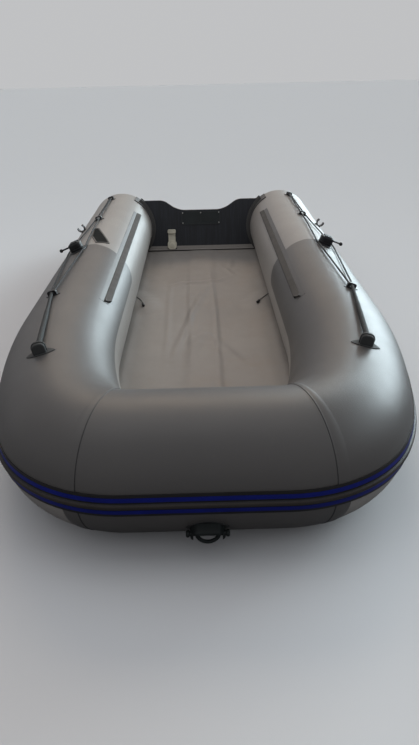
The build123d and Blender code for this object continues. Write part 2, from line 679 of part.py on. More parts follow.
def oarlock_swivel():
    """Turning head with the pin that takes the oar, and the knob on the pin's end."""
    distance = SIDE_START + OARLOCK_STATION
    floor = skin_plane(distance, OARLOCK_ANGLE, 2 * PATCH_THICKNESS + TURN_GAP)
    spindle_length = OARLOCK_BASE_HEIGHT - 2 * PATCH_THICKNESS + 2 * TURN_GAP
    spindle = extrude(floor * Circle(OARLOCK_SPINDLE_RADIUS), amount=spindle_length)
    seat = skin_plane(distance, OARLOCK_ANGLE, OARLOCK_BASE_HEIGHT + TURN_GAP)
    outline = RectangleRounded(OARLOCK_HEAD_WIDTH, OARLOCK_HEAD_LENGTH, OARLOCK_HEAD_CORNER)
    head = softened(seat, outline, OARLOCK_HEAD_HEIGHT, OARLOCK_HEAD_FILLET)
    for side in (-1, 0, 1):
        rib = Pos(side * OARLOCK_RIB_WIDTH * 2, 0, OARLOCK_HEAD_HEIGHT - OARLOCK_RIB_HEIGHT)
        slot = SlotOverall(OARLOCK_RIB_LENGTH, OARLOCK_RIB_WIDTH)
        head += softened(seat * rib * Rot(0, 0, 90), slot, 2 * OARLOCK_RIB_HEIGHT, OARLOCK_RIB_HEIGHT / 2)
    middle = seat.origin + seat.z_dir * OARLOCK_PIN_HEIGHT
    pin_plane = Plane(origin=middle, x_dir=seat.x_dir, z_dir=-seat.y_dir)
    reach = OARLOCK_HEAD_LENGTH / 2 + OARLOCK_PIN_LENGTH
    pin = extrude(pin_plane * Circle(OARLOCK_PIN_RADIUS), amount=reach)
    knob = Location(pin_plane.origin + pin_plane.z_dir * reach) * Sphere(OARLOCK_KNOB_RADIUS)
    return spindle + head + pin + knob


def oar_clip():
    """Open clip that holds an oar's shaft, on a small round foot."""
    distance = SIDE_START + CLIP_STATION
    foot = patch(Circle(CLIP_FOOT_RADIUS), distance, CLIP_ANGLE, 2 * CLIP_FOOT_RADIUS, 2 * CLIP_FOOT_RADIUS)
    across = across_plane(distance, CLIP_ANGLE, CLIP_RADIUS + CLIP_WALL, CLIP_LENGTH)
    start = 90 + CLIP_OPENING / 2
    ring = band(CLIP_RADIUS, CLIP_RADIUS + CLIP_WALL, start, start + 360 - CLIP_OPENING)
    body = extrude(across * ring, amount=CLIP_LENGTH)
    foot_block = Pos(0, -CLIP_RADIUS - CLIP_WALL) * Rectangle(CLIP_LENGTH, 2 * CLIP_WALL)
    stem = extrude(across * foot_block, amount=CLIP_LENGTH)
    return foot + (body + stem - seat_cutter(distance))


def rope_route(side):
    """Points of one strand: the eyelets, and past its own side of the oarlock."""
    sign, beside, near = ROPE_SIDES[side]
    lift = ROPE_RADIUS + PATCH_THICKNESS + SEAT_GAP + ROPE_FLOAT
    spread = OARLOCK_PATCH_LENGTH / 2
    shift = sign * arc_degrees(ROPE_SPACING / 2)
    first, second, last = EYELETS
    route = [
        (first[0] - EYELET_ARCH_LENGTH / 2, first[1] + shift, EYELET_HOLE_LIFT),
        (OARLOCK_STATION - spread, near, lift),
        (OARLOCK_STATION, beside, lift),
        (OARLOCK_STATION + spread, near, lift),
        (second[0], second[1] + shift, EYELET_HOLE_LIFT),
        (last[0] + EYELET_ARCH_LENGTH, last[1] + shift, EYELET_HOLE_LIFT),
    ]
    return [skin_plane(SIDE_START + along, angle, height).origin for along, angle, height in route]


def bend_radii(points):
    """As large a radius for each corner as its two runs allow."""
    radii = []
    for before, corner, after in zip(points, points[1:], points[2:]):
        shorter = min((corner - before).length, (after - corner).length)
        turn = (corner - before).get_angle(after - corner)
        radii.append(ROPE_BEND_SHARE * shorter / math.tan(math.radians(turn / 2)))
    return radii


def grab_rope(side):
    """One strand of the rope, from the first eyelet to the last."""
    points = rope_route(side)
    radii = bend_radii(points)
    radii[-1] = ROPE_EYELET_BEND
    path = FilletPolyline(*points, radius=radii)
    start = Plane(origin=path @ 0, z_dir=path % 0)
    return sweep(start * Circle(ROPE_RADIUS), path=path)


def rope_grip():
    """Braided grip between the strap block and the first eyelet, in two stages."""
    along, angle = EYELETS[0]
    gap = 2 * SEAT_GAP
    start = across_plane(SIDE_START + STRAP_STATION, STRAP_ANGLE, GRIP_LIFT, -STRAP_LENGTH - gap)
    end = across_plane(SIDE_START + along, angle, EYELET_HOLE_LIFT, EYELET_ARCH_LENGTH + gap)
    run = (end.origin - start.origin).normalized()
    length = (end.origin - start.origin).length + 2 * GRIP_SPARE
    place = Plane(origin=start.origin - run * GRIP_SPARE, z_dir=run)
    stages = []
    for (front, back), share in zip(GRIP_RADII, GRIP_SHARES):
        low = (Align.CENTER, Align.CENTER, Align.MIN)
        stages.append(place * Cone(front, back, length * share, align=low))
        place = place.offset(length * share)
    grip = stages[0] + stages[1]
    return split(split(grip, bisect_by=start, keep=Keep.TOP), bisect_by=end, keep=Keep.BOTTOM)


def bow_bar_plane():
    """Plane of the towing ring's bar: its z runs to port along the bar."""
    place = skin_plane(0, BOW_BLOCK_ANGLE, BOW_BAR_LIFT)
    return Plane(origin=place.origin, x_dir=place.z_dir, z_dir=place.x_dir)


def bow_patch():
    """Pointed patch under the handle block."""
    inner = TUBE_RADIUS + SEAT_GAP
    reach = arc_degrees(BOW_PATCH_HEIGHT)
    skin = band(inner, inner + PATCH_THICKNESS, BOW_BLOCK_ANGLE - reach, BOW_BLOCK_ANGLE + reach)
    shell = across_bow(skin, BOW_PATCH_WIDTH)
    plane = skin_plane(0, BOW_BLOCK_ANGLE, -TUBE_RADIUS / 2)
    return shell & extrude(plane * lens(BOW_PATCH_WIDTH, BOW_PATCH_HEIGHT), amount=TUBE_RADIUS)


def bow_block():
    """Domed handle block: a hood and two cheeks that carry the towing ring's bar."""
    half = BOW_BLOCK_HEIGHT / 2
    top, low = BOW_BLOCK_TOP_WIDTH / 2, BOW_BLOCK_WIDTH / 2
    outline = make_face(Polyline((-low, -half), (low, -half), (low, 0), (top, half), (-top, half), (-low, 0),
                                 close=True))
    outline = fillet(outline.vertices(), BOW_BLOCK_CORNER)
    place = skin_plane(0, BOW_BLOCK_ANGLE, -BOW_BLOCK_DEPTH)
    block = softened(place, outline, 2 * BOW_BLOCK_DEPTH, BOW_BLOCK_FILLET)
    skin = across_bow(Circle(TUBE_RADIUS + PATCH_THICKNESS + 2 * SEAT_GAP), BOW_BLOCK_WIDTH)
    bar = bow_bar_plane()
    bore_face = bar.offset(-BOW_BLOCK_WIDTH) * Circle(BOW_BAR_RADIUS + TURN_GAP)
    bore = extrude(bore_face, amount=2 * BOW_BLOCK_WIDTH)
    swing = BOW_RING_RADIUS + BOW_RING_ROD + MOVING_GAP
    clear = BOW_BAR_RADIUS + MOVING_GAP
    notch = extrude(bar.offset(-swing) * Circle(clear), amount=2 * swing)
    headroom = BOW_RING_ROD + MOVING_GAP
    for turn, top in ((0, headroom), (BOW_RING_SWING, 0)):
        mouth = Location(bar.origin) * Rot(turn, 0, 0) * Pos(0, clear - swing, top - swing)
        notch += mouth * Box(2 * swing, 2 * swing, 2 * swing)
    return block - skin - bore - notch


def bow_ring():
    """Towing ring: a bar that turns in the block, with end lobes and a round bow hanging from it."""
    bar = bow_bar_plane()
    reach = BOW_BLOCK_WIDTH / 2 + TURN_GAP
    ring = extrude(bar.offset(-reach) * Circle(BOW_BAR_RADIUS), amount=2 * reach)
    section = Location(bar.origin) * Pos(BOW_RING_RADIUS, 0, 0) * Circle(BOW_RING_ROD)
    ring += revolve(section, axis=Axis(bar.origin, (0, 1, 0)), revolution_arc=180)
    for side in (-1, 1):
        lobe = extrude(Circle(BOW_EAR_RADIUS), amount=BOW_EAR_LENGTH)
        lobe = fillet(lobe.edges(), BOW_EAR_FILLET)
        face = Plane(origin=bar.origin + bar.z_dir * side * reach, x_dir=bar.x_dir, z_dir=bar.z_dir * side)
        ring += face * lobe
    return ring


def badge_plate():
    """Blank plate with a raised rim on the tube, behind the dark panel."""
    distance = SIDE_START + BADGE_STATION
    shape = fillet(make_face(Polyline(*BADGE_OUTLINE, close=True)).vertices(), BADGE_CORNER)
    size = 2 * max(max(abs(x), abs(y)) for x, y in BADGE_OUTLINE)
    plate = patch(shape, distance, BADGE_ANGLE, size, size)
    inner = offset(shape, -BADGE_RIM)
    top = TUBE_RADIUS + SEAT_GAP + PATCH_THICKNESS
    half = arc_degrees(size) / 2
    shell = along_tube(band(top - BADGE_RECESS, top + BADGE_RECESS, BADGE_ANGLE - half, BADGE_ANGLE + half),
                       distance - size / 2, distance + size / 2)
    recess = extrude(skin_plane(distance, BADGE_ANGLE, 0) * inner, amount=2 * PATCH_THICKNESS, both=True)
    return plate - (shell & recess)


def lanyard(side):
    """Thin cord that leaves its toggle level, sinks to the floor and runs to the tube's skin."""
    level = FLOOR_TOP + SEAT_GAP + TOGGLE_RADIUS
    low = FLOOR_TOP + SEAT_GAP + LANYARD_RADIUS
    heights = (level, level, low, low, low)
    points = [Vector(x, y, z) for (x, y), z in zip(LANYARDS[side], heights)]
    path = FilletPolyline(*points, radius=bend_radii(points))
    return sweep(Plane(origin=path @ 0, z_dir=path % 0) * Circle(LANYARD_RADIUS), path=path)


def toggle(side):
    """Round-ended barrel that lies on the floor in line with its lanyard."""
    (x, y), (next_x, next_y) = LANYARDS[side][:2]
    place = Plane(origin=(x, y, FLOOR_TOP + SEAT_GAP + TOGGLE_RADIUS), z_dir=(x - next_x, y - next_y, 0))
    barrel = extrude(Circle(TOGGLE_RADIUS), amount=TOGGLE_LENGTH)
    return place * fillet(barrel.edges().filter_by(GeomType.CIRCLE), TOGGLE_FILLET)


def write(name, shape):
    """Writes one piece, placed on the ground with the origin under the boat's middle."""
    placed = Pos(0, AXIS_Y, TUBE_RADIUS) * shape
    export_step(placed, os.path.join("parts", name + ".step"))


BOW_REACH = max(TUBE_RADIUS + SEAT_GAP + RAIL_BASE + RAIL_BEAD_HEIGHT, -bow_block().bounding_box().min.Y)
STERN_REACH = station(TUBE_END)[1] + TAIL_LENGTH + TAIL_CAP_WALL
AXIS_Y = (BOW_REACH - STERN_REACH) / 2


def build():
    whole, above, below = tube_sections()
    rail, stripes = rail_profiles()
    quarter = along_tube(whole, QUARTER_START, TUBE_END)
    rail_end = TUBE_END - RAIL_AFT_MARGIN
    write("bow_tube", across_bow(whole, BOW_SEAM))
    write("floor_panel", floor_panel())
    write("keel_tube", keel())
    write("transom_board", board())
    write("motor_pad_inner", inner_pad())
    write("motor_pad_outer", outer_pad())
    write("drain_valve", drain_valve())
    write("rail_bow", across_bow(rail, SIDE_START))
    write("rail_stripe_upper", across_bow(stripes[1], rail_end))
    write("rail_stripe_lower", across_bow(stripes[0], rail_end))
    write("bow_patch", bow_patch())
    write("bow_block", bow_block())
    write("bow_ring", bow_ring())
    write("transom_foot_tape", foot_tape())
    write("badge_plate", mirrored(badge_plate()))
    write("port_floor_toggle", toggle("port"))
    write("port_lanyard", lanyard("port"))
    write("starboard_floor_toggle", mirrored(toggle("starboard")))
    write("starboard_lanyard", mirrored(lanyard("starboard")))
    port_pieces = {
        "shoulder_upper": along_tube(above, BOW_SEAM, SIDE_START),
        "shoulder_lower": along_tube(below, BOW_SEAM, SIDE_START),
        "side_upper": along_tube(above, SIDE_START, QUARTER_START),
        "side_lower": along_tube(below, SIDE_START, QUARTER_START),
        "quarter_tube": quarter,
        "tail_cone": tail_cone(),
        "tail_cap": tail_cap(),
        "rail_side": along_tube(rail, SIDE_START, rail_end),
        "transom_holder": holder(),
        "seat_track": seat_track(),
        "eyelet_front": eyelet(SIDE_START + EYELETS[0][0], EYELETS[0][1]),
        "eyelet_middle": eyelet(SIDE_START + EYELETS[1][0], EYELETS[1][1]),
        "eyelet_stern": eyelet(SIDE_START + EYELETS[2][0], EYELETS[2][1]),
        "rope_strap": strap(),
        "oarlock_base": oarlock_base(),
        "oarlock_swivel": oarlock_swivel(),
        "oar_clip": oar_clip(),
        "rope_grip": rope_grip(),
        "rope_inner": grab_rope("inboard"),
        "rope_outer": grab_rope("outboard"),
    }
    for name, shape in port_pieces.items():
        write("port_" + name, shape)
        write("starboard_" + name, mirrored(shape))


build()
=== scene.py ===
"""Looks of the inflatable boat: fabric tubes with their panels and seams, slack floor, ropes and fittings.

Metres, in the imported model's frame: +Z is up, +X is port and the bow points along -Y. A place on the
tube is a distance along its axis from the bow's middle, and an angle round it from the outboard side.
"""
import json
import math

import bpy
import numpy as np
from mathutils import Matrix, Vector, noise


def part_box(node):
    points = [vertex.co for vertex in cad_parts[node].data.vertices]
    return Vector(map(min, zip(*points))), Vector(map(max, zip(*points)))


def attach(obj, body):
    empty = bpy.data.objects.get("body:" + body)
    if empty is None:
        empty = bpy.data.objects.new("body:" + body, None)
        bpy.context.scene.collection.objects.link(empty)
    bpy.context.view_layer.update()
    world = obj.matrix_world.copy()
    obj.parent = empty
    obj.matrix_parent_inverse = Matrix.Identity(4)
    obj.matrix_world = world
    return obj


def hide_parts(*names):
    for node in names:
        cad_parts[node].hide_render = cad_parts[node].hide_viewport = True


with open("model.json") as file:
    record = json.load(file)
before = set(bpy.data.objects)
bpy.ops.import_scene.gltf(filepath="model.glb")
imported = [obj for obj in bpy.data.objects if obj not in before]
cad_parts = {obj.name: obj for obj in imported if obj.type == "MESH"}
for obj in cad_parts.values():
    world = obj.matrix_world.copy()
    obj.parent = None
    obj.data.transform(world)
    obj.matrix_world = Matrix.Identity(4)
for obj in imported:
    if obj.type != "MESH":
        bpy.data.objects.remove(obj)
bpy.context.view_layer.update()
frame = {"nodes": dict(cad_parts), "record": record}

# Sizes read from the frame
bow_low, bow_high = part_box("bow_tube")
TUBE_RADIUS = (bow_high.z - bow_low.z) / 2
AXIS_Z = (bow_high.z + bow_low.z) / 2
AXIS_Y = bow_low.y + TUBE_RADIUS
_, floor_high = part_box("floor_panel")
FLOOR_Z = floor_high.z

SIDES = (("port", 1), ("starboard", -1))

# Tube's axis: half of the straight run across the bow, then bends of a radius and a turn in degrees
BOW_FLAT = 0.240
BENDS = ((0.240, 60), (0.649, 15), (2.216, 15))
SIDE_PANEL = 0.800                     # straight dark panel behind the last bend
SIDE_LENGTH = 2.150
TAIL_LENGTH = 0.330
TAIL_TIP_RADIUS = 0.075

# Panels and seams
BOW_SEAM = 0.313
BOW_TAPE_END = 0.340
PANEL_LAP = 0.0007                     # a lapped panel stands this proud of the one under it
PANEL_TUCK = 3 * PANEL_LAP             # and its rim is turned down this much
PANEL_CORNER = 0.08
PANEL_GRID = (150, 90)                 # points along the panel and round it
PANEL_SEED = 7
TAPE_THICKNESS = 0.0006
TAPE_UNDERLAP = 0.001                  # the bow's tape starts this far ahead of its seam
SEAM_LINE = 0.0016                     # width of the dark glue line beside the bow's tapes
FLOOR_TAPE = (212, 227)                # angles of the tape that joins the floor to the tubes
FLOOR_SHADE_LINE = (223.6, 228)              # angles of the dark joint between the two: a glue line with the crevice's shade painted on it
STERN_CLEAR = 0.20
PANEL_INNER = {"port": 169, "starboard": 162}
PANEL_OUTER = 7
# Aft edge of the dark panel: angle round the tube, distance behind the bow axis
PANEL_EDGE = ((10, 1.560), (26, 1.585), (45, 1.620), (60, 1.650), (76, 1.678), (93, 1.680), (101, 1.662),
              (110, 1.650), (125, 1.620), (145, 1.588), (154, 1.572), (166, 1.537), (180, 1.500))

# Floor: plan distance of its rim inside the tube's axis, at its top and at its underside
FLOOR_INSET = 0.150
FLOOR_LOW_INSET = 0.088
FLOOR_THICKNESS = 0.045

# Fittings: distance behind the last bend and angle round the tube
EYELETS = ((0.070, 73), (SIDE_PANEL + 0.595, 75), (SIDE_PANEL + 1.175, 76))
OARLOCK = SIDE_PANEL - 0.030
OARLOCK_PATCH_LENGTH = 0.150
STRAP = (-0.504, 79)
STRAP_LENGTH = 0.034
EYELET_LENGTH = 0.016
EYELET_LIFT = 0.012                    # rope's axis over the skin in an eyelet

# Rope: two strands, and where each passes the oarlock: side, angle beside it, angle just off it
ROPE_RADIUS = 0.004
ROPE_SPACING = 0.010
ROPE_STEP = 0.006
ROPE_ROUND = 14
ROUTE_STEPS = 24                       # of a smooth curve between two of its points
ROPE_LIFT = 0.0098                     # rope's axis over the skin beside the oarlock
ROPE_SIDES = {"rope_inner": (1, 81, 79), "rope_outer": (-1, 56, 57)}
GRIP_LIFT = 0.021
GRIP_STEP = 0.0012
GRIP_ROUND = 48
# Grip's radius along it: share of its length, radius
GRIP_STAGES = ((0.00, 0.0103), (0.61, 0.0092), (0.63, 0.0076), (1.00, 0.0066))

# Toggles' cords between the tubes and the floor: x and distance behind the bow axis, from the tube on
LANYARD_RADIUS = 0.002
LANYARD_ROUND = 4
LANYARD_STEPS = 12
TOGGLE_RADIUS = 0.008
SEAT_GAP = 0.0003
LANYARDS = {
    "port": ((0.422, 1.872), (0.394, 1.838), (0.366, 1.794), (0.346, 1.751), (0.333, 1.724)),
    "starboard": ((0.422, 1.874), (0.396, 1.839), (0.371, 1.792), (0.358, 1.745), (0.352, 1.716)),
}

# Badge: a blank plate on the starboard tube, as places aft and round the tube from its middle
BADGE = (SIDE_PANEL + 0.206, 90)
BADGE_OUTLINE = ((0.157, -0.053), (0.153, -0.024), (-0.144, 0.080), (-0.166, 0.005), (-0.020, -0.041))
BADGE_RIM = 0.0070
BADGE_LIFT = 0.0033

# Seat track: sections as places round the tube and over its skin, bore as place, height and radius
TRACK_ANGLE = 133
TRACK_START = 0.095
TRACK_LENGTH = 1.650
TRACK_SLANT = 0.034                    # the bar's front is cut this much back at its inboard edge
TRACK_FLANGE = ((-0.033, 0.0001), (-0.033, 0.0010), (-0.006, 0.0013), (0.018, 0.0013), (0.018, 0.0001))
TRACK_BAR = ((-0.0090, 0.0010), (-0.0086, 0.0030), (-0.0070, 0.0042), (-0.0040, 0.0050), (0.0060, 0.0078),
             (0.0150, 0.0110), (0.0190, 0.0121), (0.0214, 0.0117), (0.0230, 0.0100), (0.0235, 0.0076),
             (0.0235, 0.0048), (0.0235, 0.0001))
TRACK_BORE = (0.0165, 0.0062, 0.0034)
TRACK_BORE_TURNS = (16, 344, 16)       # first and last angle of the bore's open round, and its points
TRACK_ROWS = 32
SHARP_ANGLE = 40
# Dark plugs in the bar's front, painted shade of its hollow ends: place, height, radius, share of the slant
TRACK_SHADE_PLUGS = ((-0.0030, 0.0042, 0.0040, 0.45), (*TRACK_BORE, 0.95))
SHADE_PLUG_AHEAD = 0.005
SHADE_PLUG_DEPTH = 0.008
SHADE_PLUG_SHARES = (0.55, 0.9, 1, 1, 1, 1, 1, 0.9)    # of its radius, from the front on
SHADE_PLUG_ROUND = 16

# Rub rail's middle bead
RAIL_RISE = 0.005
RAIL_BASE = 0.0043
RAIL_BEAD_HEIGHT = 0.010
RAIL_BEAD_WIDTH = 0.020
RAIL_AFT_MARGIN = 0.120
BEAD_SINK = 0.002                      # its centre lies this far under the rail's face
RIDGE_REACH = 0.78                     # share of the bead's half width that the crown takes, dusty and with a painted brownish reflection
RIDGE_COLUMNS = 9
RIDGE_LIFT = 0.0003
EDGE_TUCK = 0.0006                     # a thin piece's rim is turned down this much

# Camera: place to port of, ahead of and over the bow tube's axis, and its angles in degrees
CAMERA_X = 0.0057
CAMERA_AHEAD = 1.5142
CAMERA_OVER_AXIS = 1.131
CAMERA_PITCH = 28.511
CAMERA_ROLL = -1.3065
CAMERA_YAW = -0.4296
CAMERA_LENS = 28.334
CAMERA_SENSOR = 36


def add_object(name, data):
    """Object in the scene from its data."""
    made = bpy.data.objects.new(name, data)
    bpy.context.collection.objects.link(made)
    return made


def add_camera():
    """Camera at the photographed angle, fitted to the frame's height."""
    pitch, roll, yaw = (math.radians(a) for a in (CAMERA_PITCH, CAMERA_ROLL, CAMERA_YAW))
    forward = Vector((-math.sin(yaw) * math.cos(pitch), math.cos(yaw) * math.cos(pitch), -math.sin(pitch)))
    level = Vector((math.cos(yaw), math.sin(yaw), 0))
    upright = level.cross(forward)
    right = level * math.cos(roll) + upright * math.sin(roll)
    up = upright * math.cos(roll) - level * math.sin(roll)
    data = bpy.data.cameras.new("camera")
    data.sensor_fit = "VERTICAL"
    data.sensor_height = CAMERA_SENSOR
    data.lens = CAMERA_LENS
    camera = add_object("camera", data)
    turn = Matrix((right, up, -forward)).transposed().to_4x4()
    place = Matrix.Translation((CAMERA_X, AXIS_Y - CAMERA_AHEAD, AXIS_Z + CAMERA_OVER_AXIS))
    camera.matrix_world = place @ turn
    bpy.context.scene.camera = camera


# Geometry of the tube

def tube_runs():
    """Runs of the port axis: start, x, y, heading in radians, length, bend radius."""
    table = [(BOW_FLAT, 0, 0)]
    table += [(radius * math.radians(turn), radius, turn) for radius, turn in BENDS]
    table += [(SIDE_LENGTH + TAIL_LENGTH, 0, 0)]
    runs, start, x, y, heading = [], 0.0, 0.0, 0.0, 0.0
    for length, radius, turn in table:
        runs.append((start, x, y, heading, length, radius))
        x, y, heading = step(x, y, heading, length, radius)
        start += length
    return runs


def step(x, y, heading, length, radius):
    """Point and heading after a length of a straight run, or of a bend to port."""
    if not radius:
        return x + length * np.cos(heading), y + length * np.sin(heading), heading + 0 * length
    turned = heading + length / radius
    return (x + radius * (np.sin(turned) - np.sin(heading)),
            y + radius * (np.cos(heading) - np.cos(turned)), turned)


RUNS = tube_runs()
SIDE_START = RUNS[-1][0]
TUBE_END = SIDE_START + SIDE_LENGTH
TAIL_END = TUBE_END + TAIL_LENGTH
SIDE_START_Y = RUNS[-1][2]


def axis_at(distance):
    """Axis point and heading at distances from the bow's middle; minus is to starboard."""
    reach = np.abs(distance)
    x, y, heading = step(0.0, 0.0, 0.0, reach, 0)
    for start, x0, y0, heading0, _, radius in RUNS:
        px, py, turned = step(x0, y0, heading0, reach - start, radius)
        inside = reach >= start
        x, y, heading = np.where(inside, px, x), np.where(inside, py, y), np.where(inside, turned, heading)
    side = np.where(distance < 0, -1.0, 1.0)
    return x * side, y, heading, side


def radius_at(distance):
    """Tube's radius, which tapers along the tail cone."""
    along = np.clip((np.abs(distance) - TUBE_END) / TAIL_LENGTH, 0, 1)
    return TUBE_RADIUS + (TAIL_TIP_RADIUS - TUBE_RADIUS) * along


def skin(distance, angle, lift=0.0):
    """Points over the tube's skin, for arrays of distances and of angles in degrees, flat where it rests."""
    x, y, heading, side = axis_at(distance)
    turn = np.radians(angle)
    radius = radius_at(distance) + lift
    out = radius * np.cos(turn)
    return np.stack([
        x + side * out * np.sin(heading),
        y - out * np.cos(heading) + AXIS_Y,
        np.maximum(radius * np.sin(turn) + AXIS_Z, 0),
    ], axis=-1)


def crossed(rows, columns):
    """Two grids from the places of their rows and of their columns."""
    return np.meshgrid(rows, columns, indexing="ij")


def unit(vectors):
    """The vectors with a length of one."""
    return vectors / np.linalg.norm(vectors, axis=-1, keepdims=True)


def add_mesh(name, points, faces, uv=None):
    """Smooth mesh object from points and faces, with an optional texture place for each point."""
    data = bpy.data.meshes.new(name)
    data.from_pydata([tuple(p) for p in points], [], [tuple(f) for f in faces])
    data.validate()
    if uv is not None:
        layer = data.uv_layers.new(name="UVMap")
        corners = np.zeros(len(data.loops), np.int64)
        data.loops.foreach_get("vertex_index", corners)
        layer.data.foreach_set("uv", np.asarray(uv, float)[corners].ravel())
    data.polygons.foreach_set("use_smooth", [True] * len(data.polygons))
    return add_object(name, data)


def grid_faces(rows, columns, close_columns=False, flip=False):
    """Quads of a grid of points, row after row."""
    last = columns if close_columns else columns - 1
    faces = []
    for i in range(rows - 1):
        for j in range(last):
            k = (j + 1) % columns
            quad = (i * columns + j, i * columns + k, (i + 1) * columns + k, (i + 1) * columns + j)
            faces.append(quad[::-1] if flip else quad)
    return faces


def add_grid(name, distances, angles, lifts, closed=False, flip=False):
    """Sheet over the tube's skin from three grids of the same shape."""
    points = skin(distances, angles, lifts)
    rows, columns = distances.shape
    uv = np.stack([distances, np.radians(angles) * TUBE_RADIUS], axis=-1)
    return add_mesh(name, points.reshape(-1, 3), grid_faces(rows, columns, closed, flip), uv.reshape(-1, 2))


def open_curve(name, points, steps):
    """Smooth open curve that a route's points lead."""
    data = bpy.data.curves.new(name, "CURVE")
    data.dimensions = "3D"
    data.resolution_u = steps
    spline = data.splines.new("NURBS")
    spline.points.add(len(points) - 1)
    for target, point in zip(spline.points, points):
        target.co = (*point, 1)
    spline.order_u = 3
    spline.use_endpoint_u = True
    return data


def smooth_line(points):
    """Points along the smooth curve of a route."""
    data = open_curve("route", points, ROUTE_STEPS)
    holder = bpy.data.objects.new("route", data)
    mesh = bpy.data.meshes.new_from_object(holder)
    line = np.array([vertex.co[:] for vertex in mesh.vertices])
    bpy.data.objects.remove(holder)
    bpy.data.meshes.remove(mesh)
    bpy.data.curves.remove(data)
    return line


def evenly(line, spacing):
    """The line again with evenly spaced points, and each point's distance along it."""
    steps = np.linalg.norm(np.diff(line, axis=0), axis=1)
    along = np.concatenate([[0], np.cumsum(steps)])
    places = np.linspace(0, along[-1], max(2, round(along[-1] / spacing) + 1))
    return np.stack([np.interp(places, along, line[:, k]) for k in range(line.shape[1])], axis=-1), places


def add_rod(name, line, along, radii, around, relief=None):
    """Round rod along a line with a radius at each point, an optional relief, and closed ends."""
    ahead = unit(np.gradient(line, axis=0))
    across = unit(np.cross(ahead, (0, 0, 1)))
    above = np.cross(across, ahead)
    places, turns = crossed(along, np.linspace(0, 2 * np.pi, around, endpoint=False))
    reach = np.repeat(np.asarray(radii, float)[:, None], around, axis=1)
    if relief:
        reach = reach + relief(places, turns)
    points = (line[:, None] + reach[..., None] * (np.cos(turns)[..., None] * across[:, None]
                                                  + np.sin(turns)[..., None] * above[:, None]))
    uv = np.stack([places, turns * np.mean(radii)], axis=-1)
    faces = grid_faces(len(along), around, close_columns=True)
    count = len(along) * around
    first, last = list(range(around))[::-1], list(range(count - around, count))
    for centre, ring in ((count, first), (count + 1, last)):
        faces += [(centre, a, b) for a, b in zip(ring, ring[1:] + ring[:1])]
    points = np.concatenate([points.reshape(-1, 3), line[:1], line[-1:]])
    uv = np.concatenate([uv.reshape(-1, 2), uv[0, :1], uv[-1, :1]])
    return add_mesh(name, points, faces, uv)


def finish_piece(piece, slot, material, *nodes):
    """Gives a piece its material and body, and hides the nodes that it stands for; its slot is not used."""
    piece.data.materials.append(MATERIALS[material])
    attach(piece, "boat")
    if nodes:
        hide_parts(*nodes)


# Tubes

ROUND_STEPS = 128
ALONG_STEP = 0.012
TAPE_STEP_DEGREES = 3
TAPE_LEAST_STEPS = 4
FULL_TURN = 360
UNEVEN = 0.0006                        # fabric's slow swell
UNEVEN_SCALE = 3.1
BOW_SEED = 1.0                         # shifts of the swell, so that no two tubes are alike
TUBE_SEEDS = {"port": 4.0, "starboard": 2.0}


def swell(distances, angles, seed):
    """Slow unevenness of blown-up fabric."""
    turn = np.radians(angles)
    around = np.stack([np.cos(turn), np.sin(turn)], axis=-1)
    values = np.zeros(distances.shape)
    for index in np.ndindex(distances.shape):
        values[index] = noise.noise((distances[index] * UNEVEN_SCALE + seed, *around[index]))
    return UNEVEN * (values - 1)


def add_tube(name, start, stop, seed, flip):
    """Closed run of tube between two distances."""
    rows = round(abs(stop - start) / ALONG_STEP) + 1
    distances, angles = crossed(np.linspace(start, stop, rows),
                                np.linspace(-180, 180, ROUND_STEPS, endpoint=False))
    return add_grid(name, distances, angles, swell(distances, angles, seed), closed=True, flip=flip)


def panel_end(angle, inner):
    """Aft edge of the dark panel: a scallop, furthest aft near the top, with a round corner inboard."""
    end = SIDE_START + np.interp(angle, *zip(*PANEL_EDGE)) - SIDE_START_Y
    room = np.radians(inner - angle) * TUBE_RADIUS
    depth = np.clip(PANEL_CORNER - room, 0, PANEL_CORNER)
    return end - PANEL_CORNER + np.sqrt(PANEL_CORNER ** 2 - depth ** 2)


def add_dark_panel(side, sign):
    """Upper panel lapped over the pale tube, with its edge turned down onto it."""
    inner = PANEL_INNER[side]
    rows, columns = PANEL_GRID
    along, round_ = crossed(np.linspace(0, 1, rows), (np.cos(np.linspace(math.pi, 0, columns)) + 1) / 2)
    angles = PANEL_OUTER + (inner - PANEL_OUTER) * round_
    distances = BOW_SEAM + along * (panel_end(angles, inner) - BOW_SEAM)
    lifts = np.full(distances.shape, PANEL_LAP)
    lifts += swell(distances, angles, PANEL_SEED) + UNEVEN / 2
    lifts[-1] -= PANEL_TUCK
    lifts[:, [0, -1]] -= PANEL_TUCK
    return add_grid(side + "_dark_panel", distances * sign, angles, lifts, flip=sign > 0)


def add_tape(name, start, stop, low, high, lift, flip):
    """Flat tape on the tube's skin with its rim turned down."""
    rows = max(TAPE_LEAST_STEPS, round(abs(stop - start) / ALONG_STEP) + 1)
    columns = max(TAPE_LEAST_STEPS, round(abs(high - low) / TAPE_STEP_DEGREES) + 1)
    distances, angles = crossed(np.linspace(start, stop, rows), np.linspace(low, high, columns))
    lifts = np.full(distances.shape, lift)
    lifts[[0, -1]] = -UNEVEN
    if high - low < FULL_TURN:
        lifts[:, [0, -1]] = -UNEVEN
    return add_grid(name, distances, angles, lifts, flip=flip)


# Ropes, cords and small pieces

BRAID_YARNS = 6
BRAID_PITCH = 0.013
BRAID_RELIEF = 0.0008
BRAID_LEVEL = 0.6                      # share of the relief that lies under the grip's radius


def braid_relief(places, turns):
    """Diamond bumps of two crossing families of yarns."""
    lean = 2 * np.pi * places / BRAID_PITCH
    return BRAID_RELIEF * (np.abs(np.sin(BRAID_YARNS * turns / 2 + lean)
                                  * np.sin(BRAID_YARNS * turns / 2 - lean)) - BRAID_LEVEL)


def tube_place(sign, behind, angle, lift):
    """Point over the skin at a distance behind the last bend, on the side of the sign."""
    return skin(np.array(sign * (SIDE_START + behind)), np.array(float(angle)), lift)


